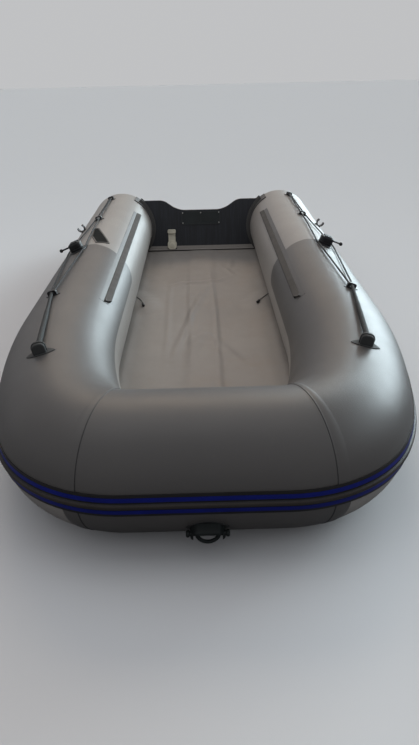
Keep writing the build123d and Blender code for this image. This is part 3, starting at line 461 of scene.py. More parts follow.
def add_ropes(side, sign):
    """Two strands through the eyelets and past the oarlock, and the braided grip ahead of them."""
    first, second, last = EYELETS
    spread = OARLOCK_PATCH_LENGTH / 2
    for name, (shift, beside, near) in ROPE_SIDES.items():
        turn = shift * math.degrees(ROPE_SPACING / 2 / TUBE_RADIUS)
        route = (
            (first[0] - EYELET_LENGTH / 2, first[1] + turn, EYELET_LIFT),
            (OARLOCK - spread, near, ROPE_LIFT),
            (OARLOCK, beside, ROPE_LIFT),
            (OARLOCK + spread, near, ROPE_LIFT),
            (second[0], second[1] + turn, EYELET_LIFT),
            (last[0] + EYELET_LENGTH, last[1] + turn, EYELET_LIFT),
        )
        line = smooth_line([tube_place(sign, *place) for place in route])
        line, along = evenly(line, ROPE_STEP)
        radii = np.full(len(along), ROPE_RADIUS)
        rope = add_rod(side + "_" + name + "_strand", line, along, radii, ROPE_ROUND)
        finish_piece(rope, "rope_dark", "rope_dark", side + "_" + name)
    ends = (tube_place(sign, STRAP[0] + STRAP_LENGTH / 2, STRAP[1], GRIP_LIFT),
            tube_place(sign, first[0] - EYELET_LENGTH / 2, first[1], EYELET_LIFT))
    line, along = evenly(np.array(ends), GRIP_STEP)
    radii = np.interp(along / along[-1], *zip(*GRIP_STAGES))
    grip = add_rod(side + "_grip_sleeve", line, along, radii, GRIP_ROUND, braid_relief)
    finish_piece(grip, "rope_dark", "grip_braid", side + "_rope_grip")


def add_lanyard(side, sign):
    """Cord that comes out between the tube and the floor and ends at its toggle."""
    low = FLOOR_Z + SEAT_GAP + LANYARD_RADIUS
    level = FLOOR_Z + SEAT_GAP + TOGGLE_RADIUS
    points = [Vector((sign * x, y + AXIS_Y, z))
              for (x, y), z in zip(LANYARDS[side], (low, low, low, level, level))]
    data = open_curve(side + "_toggle_cord", points, LANYARD_STEPS)
    data.bevel_depth = LANYARD_RADIUS
    data.bevel_resolution = LANYARD_ROUND
    data.use_fill_caps = True
    cord = add_object(side + "_toggle_cord", data)
    finish_piece(cord, "rope_dark", "cord_dark", side + "_lanyard")
    length = float(np.linalg.norm(np.diff(smooth_line(points), axis=0), axis=1).sum())


def add_bar(name, sign, profile, slant=0.0):
    """Closed bar on the seat track's line, from a section of places round the tube and over its skin."""
    section = np.array(profile)
    count = len(section)
    share = (section[:, 0] - section[:, 0].min()) / np.ptp(section[:, 0])
    start = SIDE_START + TRACK_START
    first = start + slant * share
    distances = first + (start + TRACK_LENGTH - first) * np.linspace(0, 1, TRACK_ROWS)[:, None]
    places, lifts = (np.repeat(column[None], TRACK_ROWS, axis=0) for column in section.T)
    angles = TRACK_ANGLE + np.degrees(places / TUBE_RADIUS)
    points = skin(distances * sign, angles, lifts).reshape(-1, 3)
    uv = np.stack([distances, np.radians(angles) * TUBE_RADIUS], axis=-1).reshape(-1, 2)
    faces = grid_faces(TRACK_ROWS, count, close_columns=True, flip=sign > 0)
    ends = list(range(count)), list(range((TRACK_ROWS - 1) * count, TRACK_ROWS * count))
    faces += [ends[0][::sign], ends[1][::-sign]]
    bar = add_mesh(name, points, faces, uv)
    bar.data.set_sharp_from_angle(angle=math.radians(SHARP_ANGLE))
    return bar


def add_track(side, sign):
    """Seat track: a fabric flange and a flat bar over it with a keyhole slot along its inboard edge, with
    black plugs in the bar's front as painted shade of its hollow ends.
    """
    across, height, reach = TRACK_BORE
    turns = np.radians(np.linspace(*TRACK_BORE_TURNS))
    bore = tuple((across + reach * math.cos(t), height + reach * math.sin(t)) for t in turns)
    bar = TRACK_BAR[:-2] + bore + TRACK_BAR[-2:]
    piece = add_bar(side + "_track_bar", sign, bar, TRACK_SLANT)
    finish_piece(piece, "track_grey", "track_grey", side + "_seat_track")
    piece = add_bar(side + "_track_flange", sign, TRACK_FLANGE)
    finish_piece(piece, "pvc_dark", "pvc_dark")
    # Black plugs paint the shade inside the bar's hollow front end
    count = len(SHADE_PLUG_SHARES)
    for place, (offset, lift, radius, ahead) in enumerate(TRACK_SHADE_PLUGS):
        angle = TRACK_ANGLE + math.degrees(offset / TUBE_RADIUS)
        first = SIDE_START + TRACK_START + TRACK_SLANT * ahead
        places = np.linspace(first - SHADE_PLUG_AHEAD, first + SHADE_PLUG_DEPTH, count)
        line = skin(sign * places, np.full(count, angle), lift)
        radii = radius * np.array(SHADE_PLUG_SHARES)
        along = np.linspace(0, SHADE_PLUG_AHEAD + SHADE_PLUG_DEPTH, count)
        shade_plug = add_rod("%s_track_end_shade_%d" % (side, place), line, along, radii, SHADE_PLUG_ROUND)
        finish_piece(shade_plug, "track_grey", "plastic_black")


def add_rail_ridge():
    """Dusty crown of the rail's middle bead, with a painted brownish reflection."""
    end = TUBE_END - RAIL_AFT_MARGIN
    rows = round(2 * end / ALONG_STEP) + 1
    offsets = np.linspace(-RIDGE_REACH, RIDGE_REACH, RIDGE_COLUMNS)
    distances, across = crossed(np.linspace(-end, end, rows), offsets)
    angles = np.degrees((RAIL_RISE + across * RAIL_BEAD_WIDTH / 2) / TUBE_RADIUS)
    lifts = RAIL_BASE - BEAD_SINK + RAIL_BEAD_HEIGHT * np.sqrt(1 - across ** 2) + RIDGE_LIFT
    lifts[:, [0, -1]] -= EDGE_TUCK
    ridge = add_grid("rail_ridge", distances, angles, lifts, flip=True)
    finish_piece(ridge, "rubber_black", "rail_ridge")


# Outlined pieces

OUTLINE_STEP = 0.005
CORNER_STEPS = 6
BADGE_RINGS = (0.02, 1, 14)            # first and last ring as shares of the outline, and their count


def rounded(points, corner):
    """Closed outline with its corners rounded, in even steps."""
    outline = []
    points = [np.array(point) for point in points]
    for before, point, after in zip(points[-1:] + points[:-1], points, points[1:] + points[:1]):
        start = point + unit(before - point) * corner
        end = point + unit(after - point) * corner
        for t in np.linspace(0, 1, CORNER_STEPS):
            outline.append((1 - t) ** 2 * start + 2 * t * (1 - t) * point + t ** 2 * end)
    outline, _ = evenly(np.array(outline + outline[:1]), OUTLINE_STEP)
    return outline[:-1]


def shrunk(points, margin):
    """Outline with every edge moved inwards by a margin."""
    points = np.array(points)
    ahead = unit(np.roll(points, -1, axis=0) - points)
    inward = np.stack([-ahead[:, 1], ahead[:, 0]], axis=-1)
    if np.cross(points[1] - points[0], points[2] - points[1]) < 0:
        inward = -inward
    return [point + np.linalg.solve(np.array([inward[i - 1], inward[i]]), (margin, margin))
            for i, point in enumerate(points)]


BOW_BLOCK_ANGLE = -28
BOW_PATCH_SIZE = (0.134, 0.078)
BOW_PATCH_LIFT = 0.0027
BOW_PATCH_GRID = (61, 31)              # points along the tube and round it
BOW_PATCH_EDGES = (20, 12)             # powers that keep it flat up to its rim, the same way


def add_bow_patch():
    """Pointed fabric patch under the towing ring's block."""
    width, height = BOW_PATCH_SIZE
    end_power, edge_power = BOW_PATCH_EDGES
    steps = [np.sin(np.linspace(-math.pi / 2, math.pi / 2, count)) for count in BOW_PATCH_GRID]
    along, across = crossed(*steps)
    rises = across * height / 2 * (1 - along ** 2)
    edge = np.sqrt(np.clip(1 - np.abs(across) ** edge_power, 0, 1))
    lifts = BOW_PATCH_LIFT * edge * (1 - np.abs(along) ** end_power)
    angles = BOW_BLOCK_ANGLE + np.degrees(rises / TUBE_RADIUS)
    patch = add_grid("bow_ring_patch", along * width / 2, angles, lifts, flip=True)
    finish_piece(patch, "rubber_black", "patch_black", "bow_patch")


def add_badge_face():
    """Dark blank field inside the badge plate's rim."""
    outline = rounded(shrunk(BADGE_OUTLINE, BADGE_RIM), BADGE_RIM)
    centre = outline.mean(axis=0)
    rings = np.linspace(*BADGE_RINGS)
    flat = centre + rings[:, None, None] * (outline - centre)[None]
    distances = -(SIDE_START + BADGE[0] + flat[..., 0])
    angles = BADGE[1] + np.degrees(np.arcsin(flat[..., 1] / TUBE_RADIUS))
    lifts = np.full(distances.shape, BADGE_LIFT)
    lifts[-1] -= EDGE_TUCK
    face = add_grid("badge_face", distances, angles, lifts, closed=True)
    finish_piece(face, "pvc_dark", "badge_dark")


TRANSOM_RAKE = 13
PAD_HEIGHT = 0.095
PAD_THICKNESS = 0.005
SCREW_RADIUS = 0.0042
SCREW_HEIGHT = 0.0022
SCREW_MARGIN = 0.011
SCREW_SEAT = 0.0005
SCREW_ROUND = 20
# Rings of a screw's head: shares of its radius and of its height, down into its socket
SCREW_RINGS = ((1.0, 0.0), (0.98, 0.35), (0.80, 0.75), (0.45, 0.96), (0.14, 1.0), (0.10, 0.70))


def add_screws():
    """Domed screw heads along the inner motor pad's rim."""
    low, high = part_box("motor_pad_inner")
    rake = math.radians(TRANSOM_RAKE)
    up = Vector((0, math.sin(rake), math.cos(rake)))
    out = Vector((0, -math.cos(rake), math.sin(rake)))
    foot = Vector((0, low.y, low.z + PAD_THICKNESS * math.sin(rake)))
    top = foot + up * (PAD_HEIGHT - SCREW_MARGIN)
    foot = foot + up * SCREW_MARGIN
    half = high.x - SCREW_MARGIN
    points, faces = [], []
    for x, end in ((-half, top), (0, top), (half, top), (-half, foot), (half, foot)):
        seat = Vector((x, 0, 0)) + end
        base = len(points)
        for share, rise in SCREW_RINGS:
            for k in range(SCREW_ROUND):
                turn = 2 * math.pi * k / SCREW_ROUND
                aside = Vector((math.cos(turn), 0, 0)) + up * math.sin(turn)
                points.append(seat + out * (SCREW_SEAT + SCREW_HEIGHT * rise) + aside * SCREW_RADIUS * share)
        for quad in grid_faces(len(SCREW_RINGS), SCREW_ROUND, close_columns=True):
            faces.append([base + k for k in quad])
        faces.append([base + (len(SCREW_RINGS) - 1) * SCREW_ROUND + k for k in range(SCREW_ROUND)])
    screws = add_mesh("pad_screws", points, faces)
    finish_piece(screws, "drain_plastic", "screw_steel")


# Materials

class Nodes:
    """Short calls for the nodes of a tree."""

    def __init__(self, tree):
        self.tree = tree

    def feed(self, socket, value):
        """Links another node's output to a socket, or sets the socket's own value."""
        if isinstance(value, bpy.types.NodeSocket):
            self.tree.links.new(value, socket)
        else:
            socket.default_value = value

    def node(self, kind, inputs=None, **settings):
        """New shader node with its settings, and its inputs by name or number."""
        made = self.tree.nodes.new("ShaderNode" + kind)
        for key, value in settings.items():
            setattr(made, key, value)
        for key, value in (inputs or {}).items():
            self.feed(made.inputs[key], value)
        return made

    def place(self, which="Object", scale=(1, 1, 1), turn=(0, 0, 0)):
        inputs = {"Vector": self.node("TexCoord").outputs[which], "Scale": scale, "Rotation": turn}
        return self.node("Mapping", inputs).outputs["Vector"]

    def noise(self, place, scale, detail, rough=0.5):
        inputs = {"Vector": place, "Scale": scale, "Detail": detail, "Roughness": rough}
        return self.node("TexNoise", inputs).outputs["Fac"]

    def wave(self, place, scale, direction):
        inputs = {"Vector": place, "Scale": scale}
        return self.node("TexWave", inputs, bands_direction=direction).outputs["Fac"]

    def ramp(self, value, stops):
        """Greys or colours by place, for a value from 0 to 1."""
        made = self.node("ValToRGB", {"Fac": value})
        elements = made.color_ramp.elements
        while len(elements) < len(stops):
            elements.new(0.5)
        for element, (place, colour) in zip(elements, stops):
            element.position = place
            element.color = (*colour, 1) if isinstance(colour, tuple) else (colour, colour, colour, 1)
        return made.outputs["Color"]

    def mask(self, value, start, full, share=1.0):
        """From 0 at the start to the share at the full place."""
        grey = self.ramp(value, ((start, 0.0), (full, 1.0)))
        return grey if share == 1.0 else self.math("MULTIPLY", grey, share)

    def mix(self, factor, a, b, blend="MIX"):
        """Two colours mixed; the node's colour sockets are the numbers 6, 7 and 2."""
        made = self.node("Mix", {0: factor}, data_type="RGBA", blend_type=blend)
        for key, value in ((6, a), (7, b)):
            self.feed(made.inputs[key], (*value, 1) if isinstance(value, tuple) else value)
        return made.outputs[2]

    def math(self, operation, a, b=0.0):
        return self.node("Math", {0: a, 1: b}, operation=operation).outputs[0]

    def weave(self, place, scale):
        """Bumps where the threads of a plain weave cross."""
        return self.math("MULTIPLY", self.wave(place, scale, "X"), self.wave(place, scale, "Y"))

    def scaled(self, value, low, high):
        """The value from 0 to 1, led to a range from low to high."""
        return self.node("MapRange", {"Value": value, "To Min": low, "To Max": high}).outputs["Result"]

    def rise(self, value, start, stop):
        """Soft step from 0 at the start to 1 at the stop."""
        inputs = {"Value": value, "From Min": start, "From Max": stop}
        return self.node("MapRange", inputs, interpolation_type="SMOOTHSTEP").outputs["Result"]

    def along(self, place, direction):
        """How far the place lies in the direction."""
        return self.node("VectorMath", {0: place, 1: direction}, operation="DOT_PRODUCT").outputs["Value"]


class Paint(Nodes):
    """A material with its shader and the calls that set it."""

    def __init__(self):
        self.material = bpy.data.materials.new("paint")
        self.material.use_nodes = True
        super().__init__(self.material.node_tree)
        self.shader = self.tree.nodes["Principled BSDF"]

    def bump(self, *layers):
        """Chain of bumps, each a height, its distance in metres and its strength."""
        normal = None
        for height, distance, strength in layers:
            inputs = {"Height": height, "Distance": distance, "Strength": strength}
            if normal is not None:
                inputs["Normal"] = normal
            normal = self.node("Bump", inputs).outputs["Normal"]
        self.set(Normal=normal)

    def set(self, **inputs):
        """Sets the shader's inputs, written with _ for a space."""
        for key, value in inputs.items():
            self.feed(self.shader.inputs[key.replace("_", " ")], value)


FABRIC_SHINE = 0.6
FABRIC_WEAVE = 260
FABRIC_GRAIN = 0.00025
MOULD_GRAIN = 0.0002
FLOOR_WEAVE = 210
BRAID_TURN = 45


def shade(colour, factor):
    """The colour made darker or lighter."""
    return tuple(min(1.0, c * factor) for c in colour)


def coated_fabric(colour, gloss):
    """Coated boat fabric: fine weave under the coat, slow tone changes, dust and faint scuffs."""
    paint = Paint()
    place = paint.place()
    tone = paint.noise(place, scale=2.3, detail=4)
    base = paint.ramp(tone, ((0.25, shade(colour, 0.93)), (0.75, shade(colour, 1.07))))
    scuff_place = paint.place(scale=(1, 0.25, 1), turn=(0.2, 0.1, 0.5))
    scuffs = paint.noise(scuff_place, scale=38, detail=6, rough=0.7)
    base = paint.mix(paint.mask(scuffs, 0.60, 0.74, share=0.16), base, shade(colour, 1.7))
    dust = paint.noise(place, scale=260, detail=2)
    base = paint.mix(paint.mask(dust, 0.66, 0.78, share=0.12), base, shade(colour, 1.9))
    paint.set(Base_Color=base)
    rough = paint.scaled(paint.noise(place, scale=7.0, detail=5, rough=0.6), gloss - 0.06, gloss + 0.08)
    paint.set(Roughness=rough, IOR=1.5, Specular_IOR_Level=FABRIC_SHINE)
    weave = paint.weave(paint.place("UV"), FABRIC_WEAVE)
    orange_peel = paint.noise(place, scale=420, detail=3)
    paint.bump((weave, FABRIC_GRAIN, 0.30), (orange_peel, FABRIC_GRAIN, 0.25))
    return paint.material


def floor_fabric(colour):
    """Slack pale fabric, matt, with soiled folds and a plain weave."""
    paint = Paint()
    place = paint.place()
    tone = paint.noise(place, scale=1.7, detail=5, rough=0.6)
    base = paint.ramp(tone, ((0.3, shade(colour, 0.90)), (0.7, shade(colour, 1.07))))
    stain = paint.noise(place, scale=4.5, detail=6, rough=0.65)
    warm = (colour[0] * 0.92, colour[1] * 0.80, colour[2] * 0.70)
    base = paint.mix(paint.mask(stain, 0.52, 0.75, share=0.35), base, warm)
    paint.set(Base_Color=base, IOR=1.45)
    paint.set(Roughness=paint.scaled(paint.noise(place, scale=12, detail=4), 0.48, 0.66))
    weave = paint.weave(paint.place("UV"), FLOOR_WEAVE)
    crinkle = paint.noise(place, scale=60, detail=6, rough=0.6)
    paint.bump((crinkle, 0.0012, 0.35), (weave, 0.0003, 0.35))
    return paint.material


def moulded(colour, gloss, wear=0.25, shine=0.5):
    """Moulded plastic or rubber: fine texture, a little dust and worn edges."""
    paint = Paint()
    place = paint.place()
    tone = paint.noise(place, scale=14, detail=4)
    base = paint.ramp(tone, ((0.3, shade(colour, 0.85)), (0.7, shade(colour, 1.2))))
    edge = paint.node("NewGeometry").outputs["Pointiness"]
    worn = tuple(c * 1.4 + 0.03 for c in colour)
    base = paint.mix(paint.mask(edge, 0.52, 0.60, share=wear), base, worn)
    dust = paint.noise(place, scale=190, detail=3)
    dusty = tuple(c * 1.3 + 0.05 for c in colour)
    base = paint.mix(paint.mask(dust, 0.60, 0.75, share=0.14), base, dusty)
    paint.set(Base_Color=base)
    rough = paint.scaled(paint.noise(place, scale=30, detail=4), gloss - 0.07, gloss + 0.1)
    paint.set(Roughness=rough, IOR=1.5, Specular_IOR_Level=shine)
    fine = paint.noise(place, scale=900, detail=2)
    coarse = paint.noise(place, scale=90, detail=3)
    paint.bump((fine, MOULD_GRAIN, 0.3), (coarse, MOULD_GRAIN * 2, 0.15))
    return paint.material


def ply(colour, edge_colour):
    """Dark film-faced plywood: upright grain on the faces and pale plies along the edges."""
    paint = Paint()
    streaks = paint.noise(paint.place(scale=(46, 3, 1.4)), scale=3.2, detail=8, rough=0.65)
    face = paint.ramp(streaks, ((0.30, shade(colour, 0.55)), (0.5, colour), (0.72, shade(colour, 2.1))))
    normal = paint.node("NewGeometry").outputs["Normal"]
    split = paint.node("SeparateXYZ", {"Vector": normal})
    plies = paint.wave(paint.place(), scale=95, direction="Y")
    edge = paint.mix(plies, shade(edge_colour, 0.75), edge_colour)
    base = paint.mix(paint.mask(split.outputs["Z"], 0.60, 0.80, share=0.75), face, edge)
    paint.set(Base_Color=base, IOR=1.5)
    paint.set(Roughness=paint.scaled(streaks, 0.42, 0.62))
    paint.bump((streaks, 0.0004, 0.35))
    return paint.material


def braided(colour, second, scale):
    """Braided cord: crossing strands along the texture place."""
    paint = Paint()
    place = paint.place("UV", turn=(0, 0, math.radians(BRAID_TURN)))
    strands = paint.weave(place, scale)
    fleck = paint.noise(paint.place("UV"), scale * 2, detail=2)
    base = paint.mix(paint.mask(fleck, 0.5, 0.62), colour, second)
    base = paint.mix(paint.math("MULTIPLY", strands, 0.5), shade(colour, 0.5), base)
    paint.set(Base_Color=base, Roughness=0.75)
    fuzz = paint.noise(paint.place(), scale=1500, detail=2)
    paint.bump((strands, 0.0006, 0.6), (fuzz, 0.0002, 0.4))
    return paint.material


def steel(colour):
    """Bright steel with fine scratches."""
    paint = Paint()
    scratches = paint.noise(paint.place(scale=(1, 1, 6)), scale=420, detail=4, rough=0.7)
    paint.set(Base_Color=paint.ramp(scratches, ((0.35, shade(colour, 0.8)), (0.65, colour))), Metallic=1.0)
    paint.set(Roughness=paint.scaled(scratches, 0.22, 0.38))
    paint.bump((scratches, 0.0001, 0.3))
    return paint.material


MATERIALS = {
    "pvc_dark": coated_fabric((0.070, 0.065, 0.062), 0.42),
    "pvc_light": coated_fabric((0.265, 0.246, 0.228), 0.42),
    "rubber_black": moulded((0.011, 0.010, 0.011), 0.42, shine=0.25),
    "stripe_blue": moulded((0.002, 0.008, 0.145), 0.34, wear=0.1, shine=0.18),
    "floor_fabric": floor_fabric((0.272, 0.250, 0.230)),
    "keel_fabric": coated_fabric((0.265, 0.246, 0.228), 0.45),
    # The transom ply's blue tint is a painted reflection
    "transom_wood": ply((0.012, 0.014, 0.019), (0.16, 0.12, 0.09)),
    "pad_plastic": moulded((0.018, 0.022, 0.023), 0.45, shine=0.35),
    "drain_plastic": moulded((0.58, 0.55, 0.45), 0.38, wear=0.1),
    "track_grey": moulded((0.066, 0.061, 0.057), 0.68, wear=0.1, shine=0.2),
    "plastic_black": moulded((0.011, 0.011, 0.012), 0.38, shine=0.4),
    "webbing": braided((0.062, 0.064, 0.064), (0.16, 0.16, 0.16), 420),
    "rope_dark": braided((0.030, 0.034, 0.038), (0.16, 0.17, 0.18), 240),
    "grip_braid": braided((0.022, 0.025, 0.026), (0.20, 0.21, 0.21), 120),
    "cord_dark": moulded((0.018, 0.018, 0.019), 0.6),
    # Crown of the rail's bead: dust and wear, with a painted brownish reflection
    "rail_ridge": moulded((0.026, 0.021, 0.019), 0.48, wear=0.1, shine=0.3),
    "badge_dark": moulded((0.004, 0.006, 0.006), 0.45, wear=0.0, shine=0.02),
    "screw_steel": steel((0.62, 0.62, 0.60)),
    "holder_fabric": coated_fabric((0.050, 0.048, 0.046), 0.55),
    "block_black": moulded((0.007, 0.010, 0.010), 0.5, wear=0.1, shine=0.25),
    "patch_black": coated_fabric((0.010, 0.011, 0.011), 0.5),
    # Dark glue line; along the floor's edge it also paints the shade of the crevice
    "seam_line": moulded((0.020, 0.019, 0.019), 0.55, wear=0.0),
}
for name, material in MATERIALS.items():
    material.name = name

# Nodes that wear another material than their slot's
OTHER_MATERIALS = {
    "port_transom_holder": "holder_fabric",
    "starboard_transom_holder": "holder_fabric",
    "badge_plate": "holder_fabric",
    "bow_block": "block_black",
    "bow_ring": "block_black",
}


def dress_nodes():
    """Gives every shown CAD node the material of its slot, or its own where it has one."""
    for part in frame["record"]["subparts"]:
        materials = frame["nodes"][part["node"]].data.materials
        materials.clear()
        materials.append(MATERIALS[OTHER_MATERIALS.get(part["node"], part["material_slot"])])


# Floor

FLOOR_STEP = 0.010
FLOOR_COLUMNS = 97
UNDERSIDE_STEP = 4 * FLOOR_STEP
UNDERSIDE_COLUMNS = 33
RIM_SAMPLES = 1200
FLOOR_SLACK_EDGE = 0.10                # folds fade within this distance of the rim
FLOOR_SAG = 0.012
RIM_DIP = 0.013                        # and dips beside the tubes
RIM_DIP_WIDTH = 0.065
FLOOR_CROWN = 0.010                    # the keel lifts the floor's middle
KEEL_HALF = 0.085
KEEL_POWER = 6                         # flatness of the crown's top
STERN_EDGE = 0.02                      # and fade as if the stern's rim lay this much further aft
TOGGLE_FLAT = 0.03                     # the floor is flat under the toggles and their cords
# Unevenness of the slack floor: height, scale across, slant, scale along, seed
FLOOR_SWELLS = ((0.0050, 3.4, 0, 1.6, 4.2), (0.0016, 13, 4, 5.5, 9.1))
FLOOR_CREASES = (0.0012, 5, 3, 2.6, 1.7)         # the same, with a shift for the slant
CREASE_SHAPE = (1.0, 2.0, 3, 1.0, 2.0)           # increment, lacunarity, octaves, offset and gain
FOLD_TROUGH = (0.45, 2.1)              # beside a fold: share of its height, and distance in widths
FOLD_END = 0.02
FOLD_FADE = 0.6                        # power of the fade to a fold's ends
# Folds of the slack floor: height, half width, and points as x and distance behind the bow axis
FLOOR_FOLDS = (
    (0.0035, 0.010, ((-0.086, 2.65), (-0.078, 1.67), (-0.066, 1.36), (-0.060, 0.90))),
    (0.0045, 0.010, ((0.054, 2.34), (0.073, 1.61), (0.071, 0.96), (0.068, 0.45))),
    (0.0080, 0.017, ((0.029, 2.01), (-0.057, 1.62), (-0.110, 1.30), (-0.160, 1.02))),
    (0.0050, 0.016, ((-0.210, 2.06), (-0.125, 2.115), (-0.015, 2.09), (0.102, 2.136), (0.215, 2.24))),
    (0.0050, 0.014, ((0.12, 2.47), (0.183, 2.31), (0.206, 2.25))),
    (0.0060, 0.020, ((0.079, 1.21), (0.129, 1.09), (0.183, 0.98))),
    (0.0050, 0.020, ((0.008, 1.30), (-0.039, 1.157), (-0.077, 0.97))),
    (0.0040, 0.020, ((-0.08, 1.22), (0.008, 1.287), (0.094, 1.19))),
    (0.0030, 0.012, ((-0.199, 2.18), (-0.202, 1.79), (-0.189, 1.35), (-0.188, 0.90))),
    (0.0030, 0.014, ((0.21, 2.60), (0.20, 2.45), (0.17, 2.32))),
    (0.0040, 0.016, ((-0.22, 2.74), (-0.20, 2.56), (-0.21, 2.42))),
)


def rim_points(inset):
    """Port half of the line inside the tube's axis at an inset: x and distance behind the bow axis."""
    x, y, heading, _ = axis_at(np.linspace(0, TUBE_END, RIM_SAMPLES))
    return x - inset * np.sin(heading), y + inset * np.cos(heading)


def fold_height(x, y):
    """Sum of the folds at places of the floor."""
    total = np.zeros(x.shape)
    depth, beside = FOLD_TROUGH
    for height, width, points in FLOOR_FOLDS:
        nearest = np.full(x.shape, np.inf)
        fade = np.zeros(x.shape)
        pieces = len(points) - 1
        for i, ((ax, ay), (bx, by)) in enumerate(zip(points, points[1:])):
            dx, dy = bx - ax, by - ay
            t = np.clip(((x - ax) * dx + (y - ay) * dy) / (dx * dx + dy * dy), 0, 1)
            away = np.hypot(x - ax - t * dx, y - ay - t * dy)
            closer = away < nearest
            nearest = np.where(closer, away, nearest)
            fade = np.where(closer, (i + t) / pieces, fade)
        trough = depth * np.exp(-((nearest - beside * width) / width) ** 2)
        profile = np.exp(-(nearest / width) ** 2) - trough
        total += height * profile * np.sin(np.pi * np.clip(fade, FOLD_END, 1 - FOLD_END)) ** FOLD_FADE
    return total


def unevenness(x, y):
    """Height of the fabric's slow swells and creases at one place of the floor."""
    total = sum(height * noise.noise((x * across + y * slant, y * along, seed))
                for height, across, slant, along, seed in FLOOR_SWELLS)
    height, across, shift, along, seed = FLOOR_CREASES
    return total - height * noise.ridged_multi_fractal((x * across + shift, y * along, seed), *CREASE_SHAPE)


def soften(share):
    """Share from 0 to 1 with a soft start and end."""
    share = np.clip(share, 0, 1)
    return share * share * (3 - 2 * share)


def floor_grid(inset, spacing, columns):
    """Plan places inside the tubes: x, distance behind the bow axis, and distance in from the rim."""
    rim_x, rim_y = rim_points(inset)
    front, back = rim_y[0], floor_high.y - AXIS_Y
    rows = np.linspace(front, back, round((back - front) / spacing) + 1)
    half = np.interp(rows, rim_y, rim_x)
    half[0] = BOW_FLAT
    y, share = crossed(rows, np.linspace(-1, 1, columns))
    x = share * half[:, None]
    edge = np.minimum.reduce([(1 - np.abs(share)) * half[:, None], y - front, back - y + STERN_EDGE])
    return x, y, edge, float(np.sum((half[1:] + half[:-1]) * np.diff(rows)))


def add_floor_sheet(name, x, y, z, flip=False):
    """One layer of the floor from its grid."""
    points = np.stack([x, y + AXIS_Y, z], axis=-1).reshape(-1, 3)
    piece = add_mesh(name, points, grid_faces(*x.shape, flip=flip), np.stack([x, y], axis=-1).reshape(-1, 2))
    finish_piece(piece, "floor_fabric", "floor_fabric", "floor_panel")


def add_floor():
    """Slack floor fabric between the tubes and the transom, and its underside."""
    x, y, edge, area = floor_grid(FLOOR_INSET, FLOOR_STEP, FLOOR_COLUMNS)
    free = soften(edge / FLOOR_SLACK_EDGE)
    dip = 1 - soften(edge / RIM_DIP_WIDTH)
    for side, sign in SIDES:
        near = np.min([np.hypot(x - sign * px, y - py) for px, py in LANYARDS[side]], axis=0)
        clear = soften((near - TOGGLE_FLAT) / FLOOR_SLACK_EDGE)
        free, dip = free * clear, dip * clear
    z = FLOOR_Z - FLOOR_SAG * free + FLOOR_CROWN * np.exp(-(x / KEEL_HALF) ** KEEL_POWER) * free
    z += fold_height(x, y) * free - RIM_DIP * dip
    for index in np.ndindex(x.shape):
        z[index] += free[index] * unevenness(x[index], y[index])
    add_floor_sheet("floor_skin", x, y, z)
    x, y, _, area = floor_grid(FLOOR_LOW_INSET, UNDERSIDE_STEP, UNDERSIDE_COLUMNS)
    add_floor_sheet("floor_underside", x, y, np.full(x.shape, FLOOR_Z - FLOOR_THICKNESS), flip=True)


FLOOR_RUN = (BOW_FLAT, TUBE_END - STERN_CLEAR)
# Tapes and lines of each side: start, stop, low and high angle, lift, facing inwards or not, slot, material
TAPES = {
    "bow_tape": (BOW_SEAM - TAPE_UNDERLAP, BOW_TAPE_END, -180, 180, PANEL_LAP + TAPE_THICKNESS,
                 False, "pvc_dark", "pvc_dark"),
    "bow_seam_line": (BOW_SEAM - SEAM_LINE, BOW_SEAM + SEAM_LINE / 2, -180, 180,
                      PANEL_LAP + TAPE_THICKNESS / 2, False, "pvc_dark", "seam_line"),
    "floor_tape": (*FLOOR_RUN, *FLOOR_TAPE, TAPE_THICKNESS, True, "pvc_light", "pvc_light"),
    # The floor's dark line: its glue line, with the crevice's shade painted on it
    "floor_shade_line": (*FLOOR_RUN, *FLOOR_SHADE_LINE, 2 * TAPE_THICKNESS, True, "pvc_light", "seam_line"),
}


def add_hull():
    """Fabric tubes, their lapped panels and seam tapes."""
    bow = add_tube("bow_skin", -BOW_SEAM, BOW_SEAM, BOW_SEED, flip=True)
    finish_piece(bow, "pvc_dark", "pvc_dark", "bow_tube")
    for side, sign in SIDES:
        flip = sign > 0
        tube = add_tube(side + "_tube_skin", sign * BOW_SEAM, sign * TAIL_END, TUBE_SEEDS[side], flip)
        finish_piece(tube, "pvc_light", "pvc_light", side + "_shoulder_lower", side + "_side_lower",
                     side + "_quarter_tube", side + "_tail_cone")
        panel = add_dark_panel(side, sign)
        finish_piece(panel, "pvc_dark", "pvc_dark", side + "_shoulder_upper", side + "_side_upper")
        for name, (start, stop, low, high, lift, inwards, slot, material) in TAPES.items():
            tape = add_tape(side + "_" + name, sign * start, sign * stop, low, high, lift, flip != inwards)
            finish_piece(tape, slot, material)


# Stage

GROUND_SIZE = 60
GROUND_COLOUR = (0.215, 0.217, 0.225)  # as the boat sees it
GROUND_SEEN = (0.62, 0.625, 0.635)     # as the camera sees it
BACKDROP_COLOUR = (0.53, 0.535, 0.545)
SKY_COLOUR = (0.95, 0.96, 1.0)
SKY_LEVEL = (0.39, 0.08, 0.16)         # all round, more from behind the boat, and more from above
# Windows: azimuth from port to astern, half width, low and high edge as slopes, strength, colour
WINDOWS = (
    (50, 0.32, 0.02, 0.38, 12.5, (0.79, 0.94, 1.0)),
    (10, 0.40, 0.35, 0.70, 2.2, (0.80, 0.94, 1.0)),
    (94, 0.32, 0.62, 1.00, 4.4, (1.0, 0.78, 0.57)),
)
WINDOW_EDGE = 0.10                     # softness of the windows' edges
LEAST_AHEAD = 0.001                    # keeps the slopes finite beside and behind a window
LAMP_PLACE = (-0.6, -0.8, 3.6)
LAMP_SIZE = 3.2
LAMP_POWER = 18


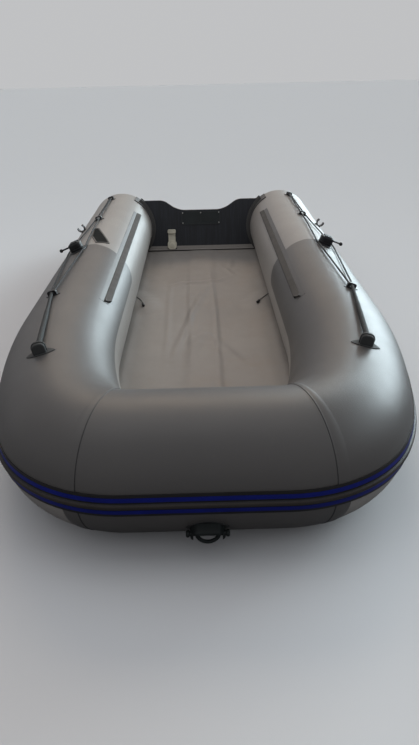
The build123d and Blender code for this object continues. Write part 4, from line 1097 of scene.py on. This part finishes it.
def add_sky(tree):
    """Even light with soft windows, and a plain backdrop that only the camera sees."""
    paint = Nodes(tree)
    direction = paint.node("TexCoord").outputs["Generated"]
    even, behind, above = SKY_LEVEL
    level = paint.math("ADD", paint.along(direction, (0, behind, above)), even)
    light = paint.mix(level, (0, 0, 0), SKY_COLOUR)
    for azimuth, half, low, high, strength, colour in WINDOWS:
        cos, sin = math.cos(math.radians(azimuth)), math.sin(math.radians(azimuth))
        ahead = paint.math("MAXIMUM", paint.along(direction, (cos, sin, 0)), LEAST_AHEAD)
        aside = paint.math("ABSOLUTE", paint.along(direction, (-sin, cos, 0)))
        slope = paint.math("DIVIDE", paint.along(direction, (0, 0, 1)), ahead)
        inside = paint.rise(paint.math("DIVIDE", aside, ahead), half + WINDOW_EDGE, half)
        inside = paint.math("MULTIPLY", inside, paint.rise(slope, low, low + WINDOW_EDGE))
        inside = paint.math("MULTIPLY", inside, paint.rise(slope, high + WINDOW_EDGE, high))
        light = paint.mix(inside, light, tuple(strength * c for c in colour), "ADD")
    lit = paint.node("Background", {"Color": light})
    seen = paint.node("Background", {"Color": (*BACKDROP_COLOUR, 1)})
    camera_ray = paint.node("LightPath").outputs["Is Camera Ray"]
    mixed = paint.node("MixShader", {"Fac": camera_ray, 1: lit.outputs[0], 2: seen.outputs[0]})
    paint.feed(tree.nodes["World Output"].inputs["Surface"], mixed.outputs["Shader"])


def add_stage():
    """Plain floor, sky light and one soft lamp overhead."""
    bpy.ops.mesh.primitive_plane_add(size=GROUND_SIZE, location=(0, 0, 0))
    ground = bpy.context.object
    ground.name = "ground"
    paint = Paint()
    paint.material.name = "ground"
    seen = paint.node("LightPath").outputs["Is Camera Ray"]
    paint.set(Base_Color=paint.mix(seen, GROUND_COLOUR, GROUND_SEEN), Roughness=0.8, Specular_IOR_Level=0.0)
    ground.data.materials.append(paint.material)
    world = bpy.data.worlds.new("world")
    bpy.context.scene.world = world
    world.use_nodes = True
    add_sky(world.node_tree)
    data = bpy.data.lights.new("top", "AREA")
    data.size = LAMP_SIZE
    data.energy = LAMP_POWER
    add_object("top", data).location = LAMP_PLACE


bpy.context.scene.view_settings.view_transform = "Standard"
add_camera()
add_stage()
dress_nodes()
add_hull()
add_floor()
add_rail_ridge()
add_bow_patch()
add_badge_face()
add_screws()
for side, sign in SIDES:
    add_ropes(side, sign)
    add_lanyard(side, sign)
    add_track(side, sign)
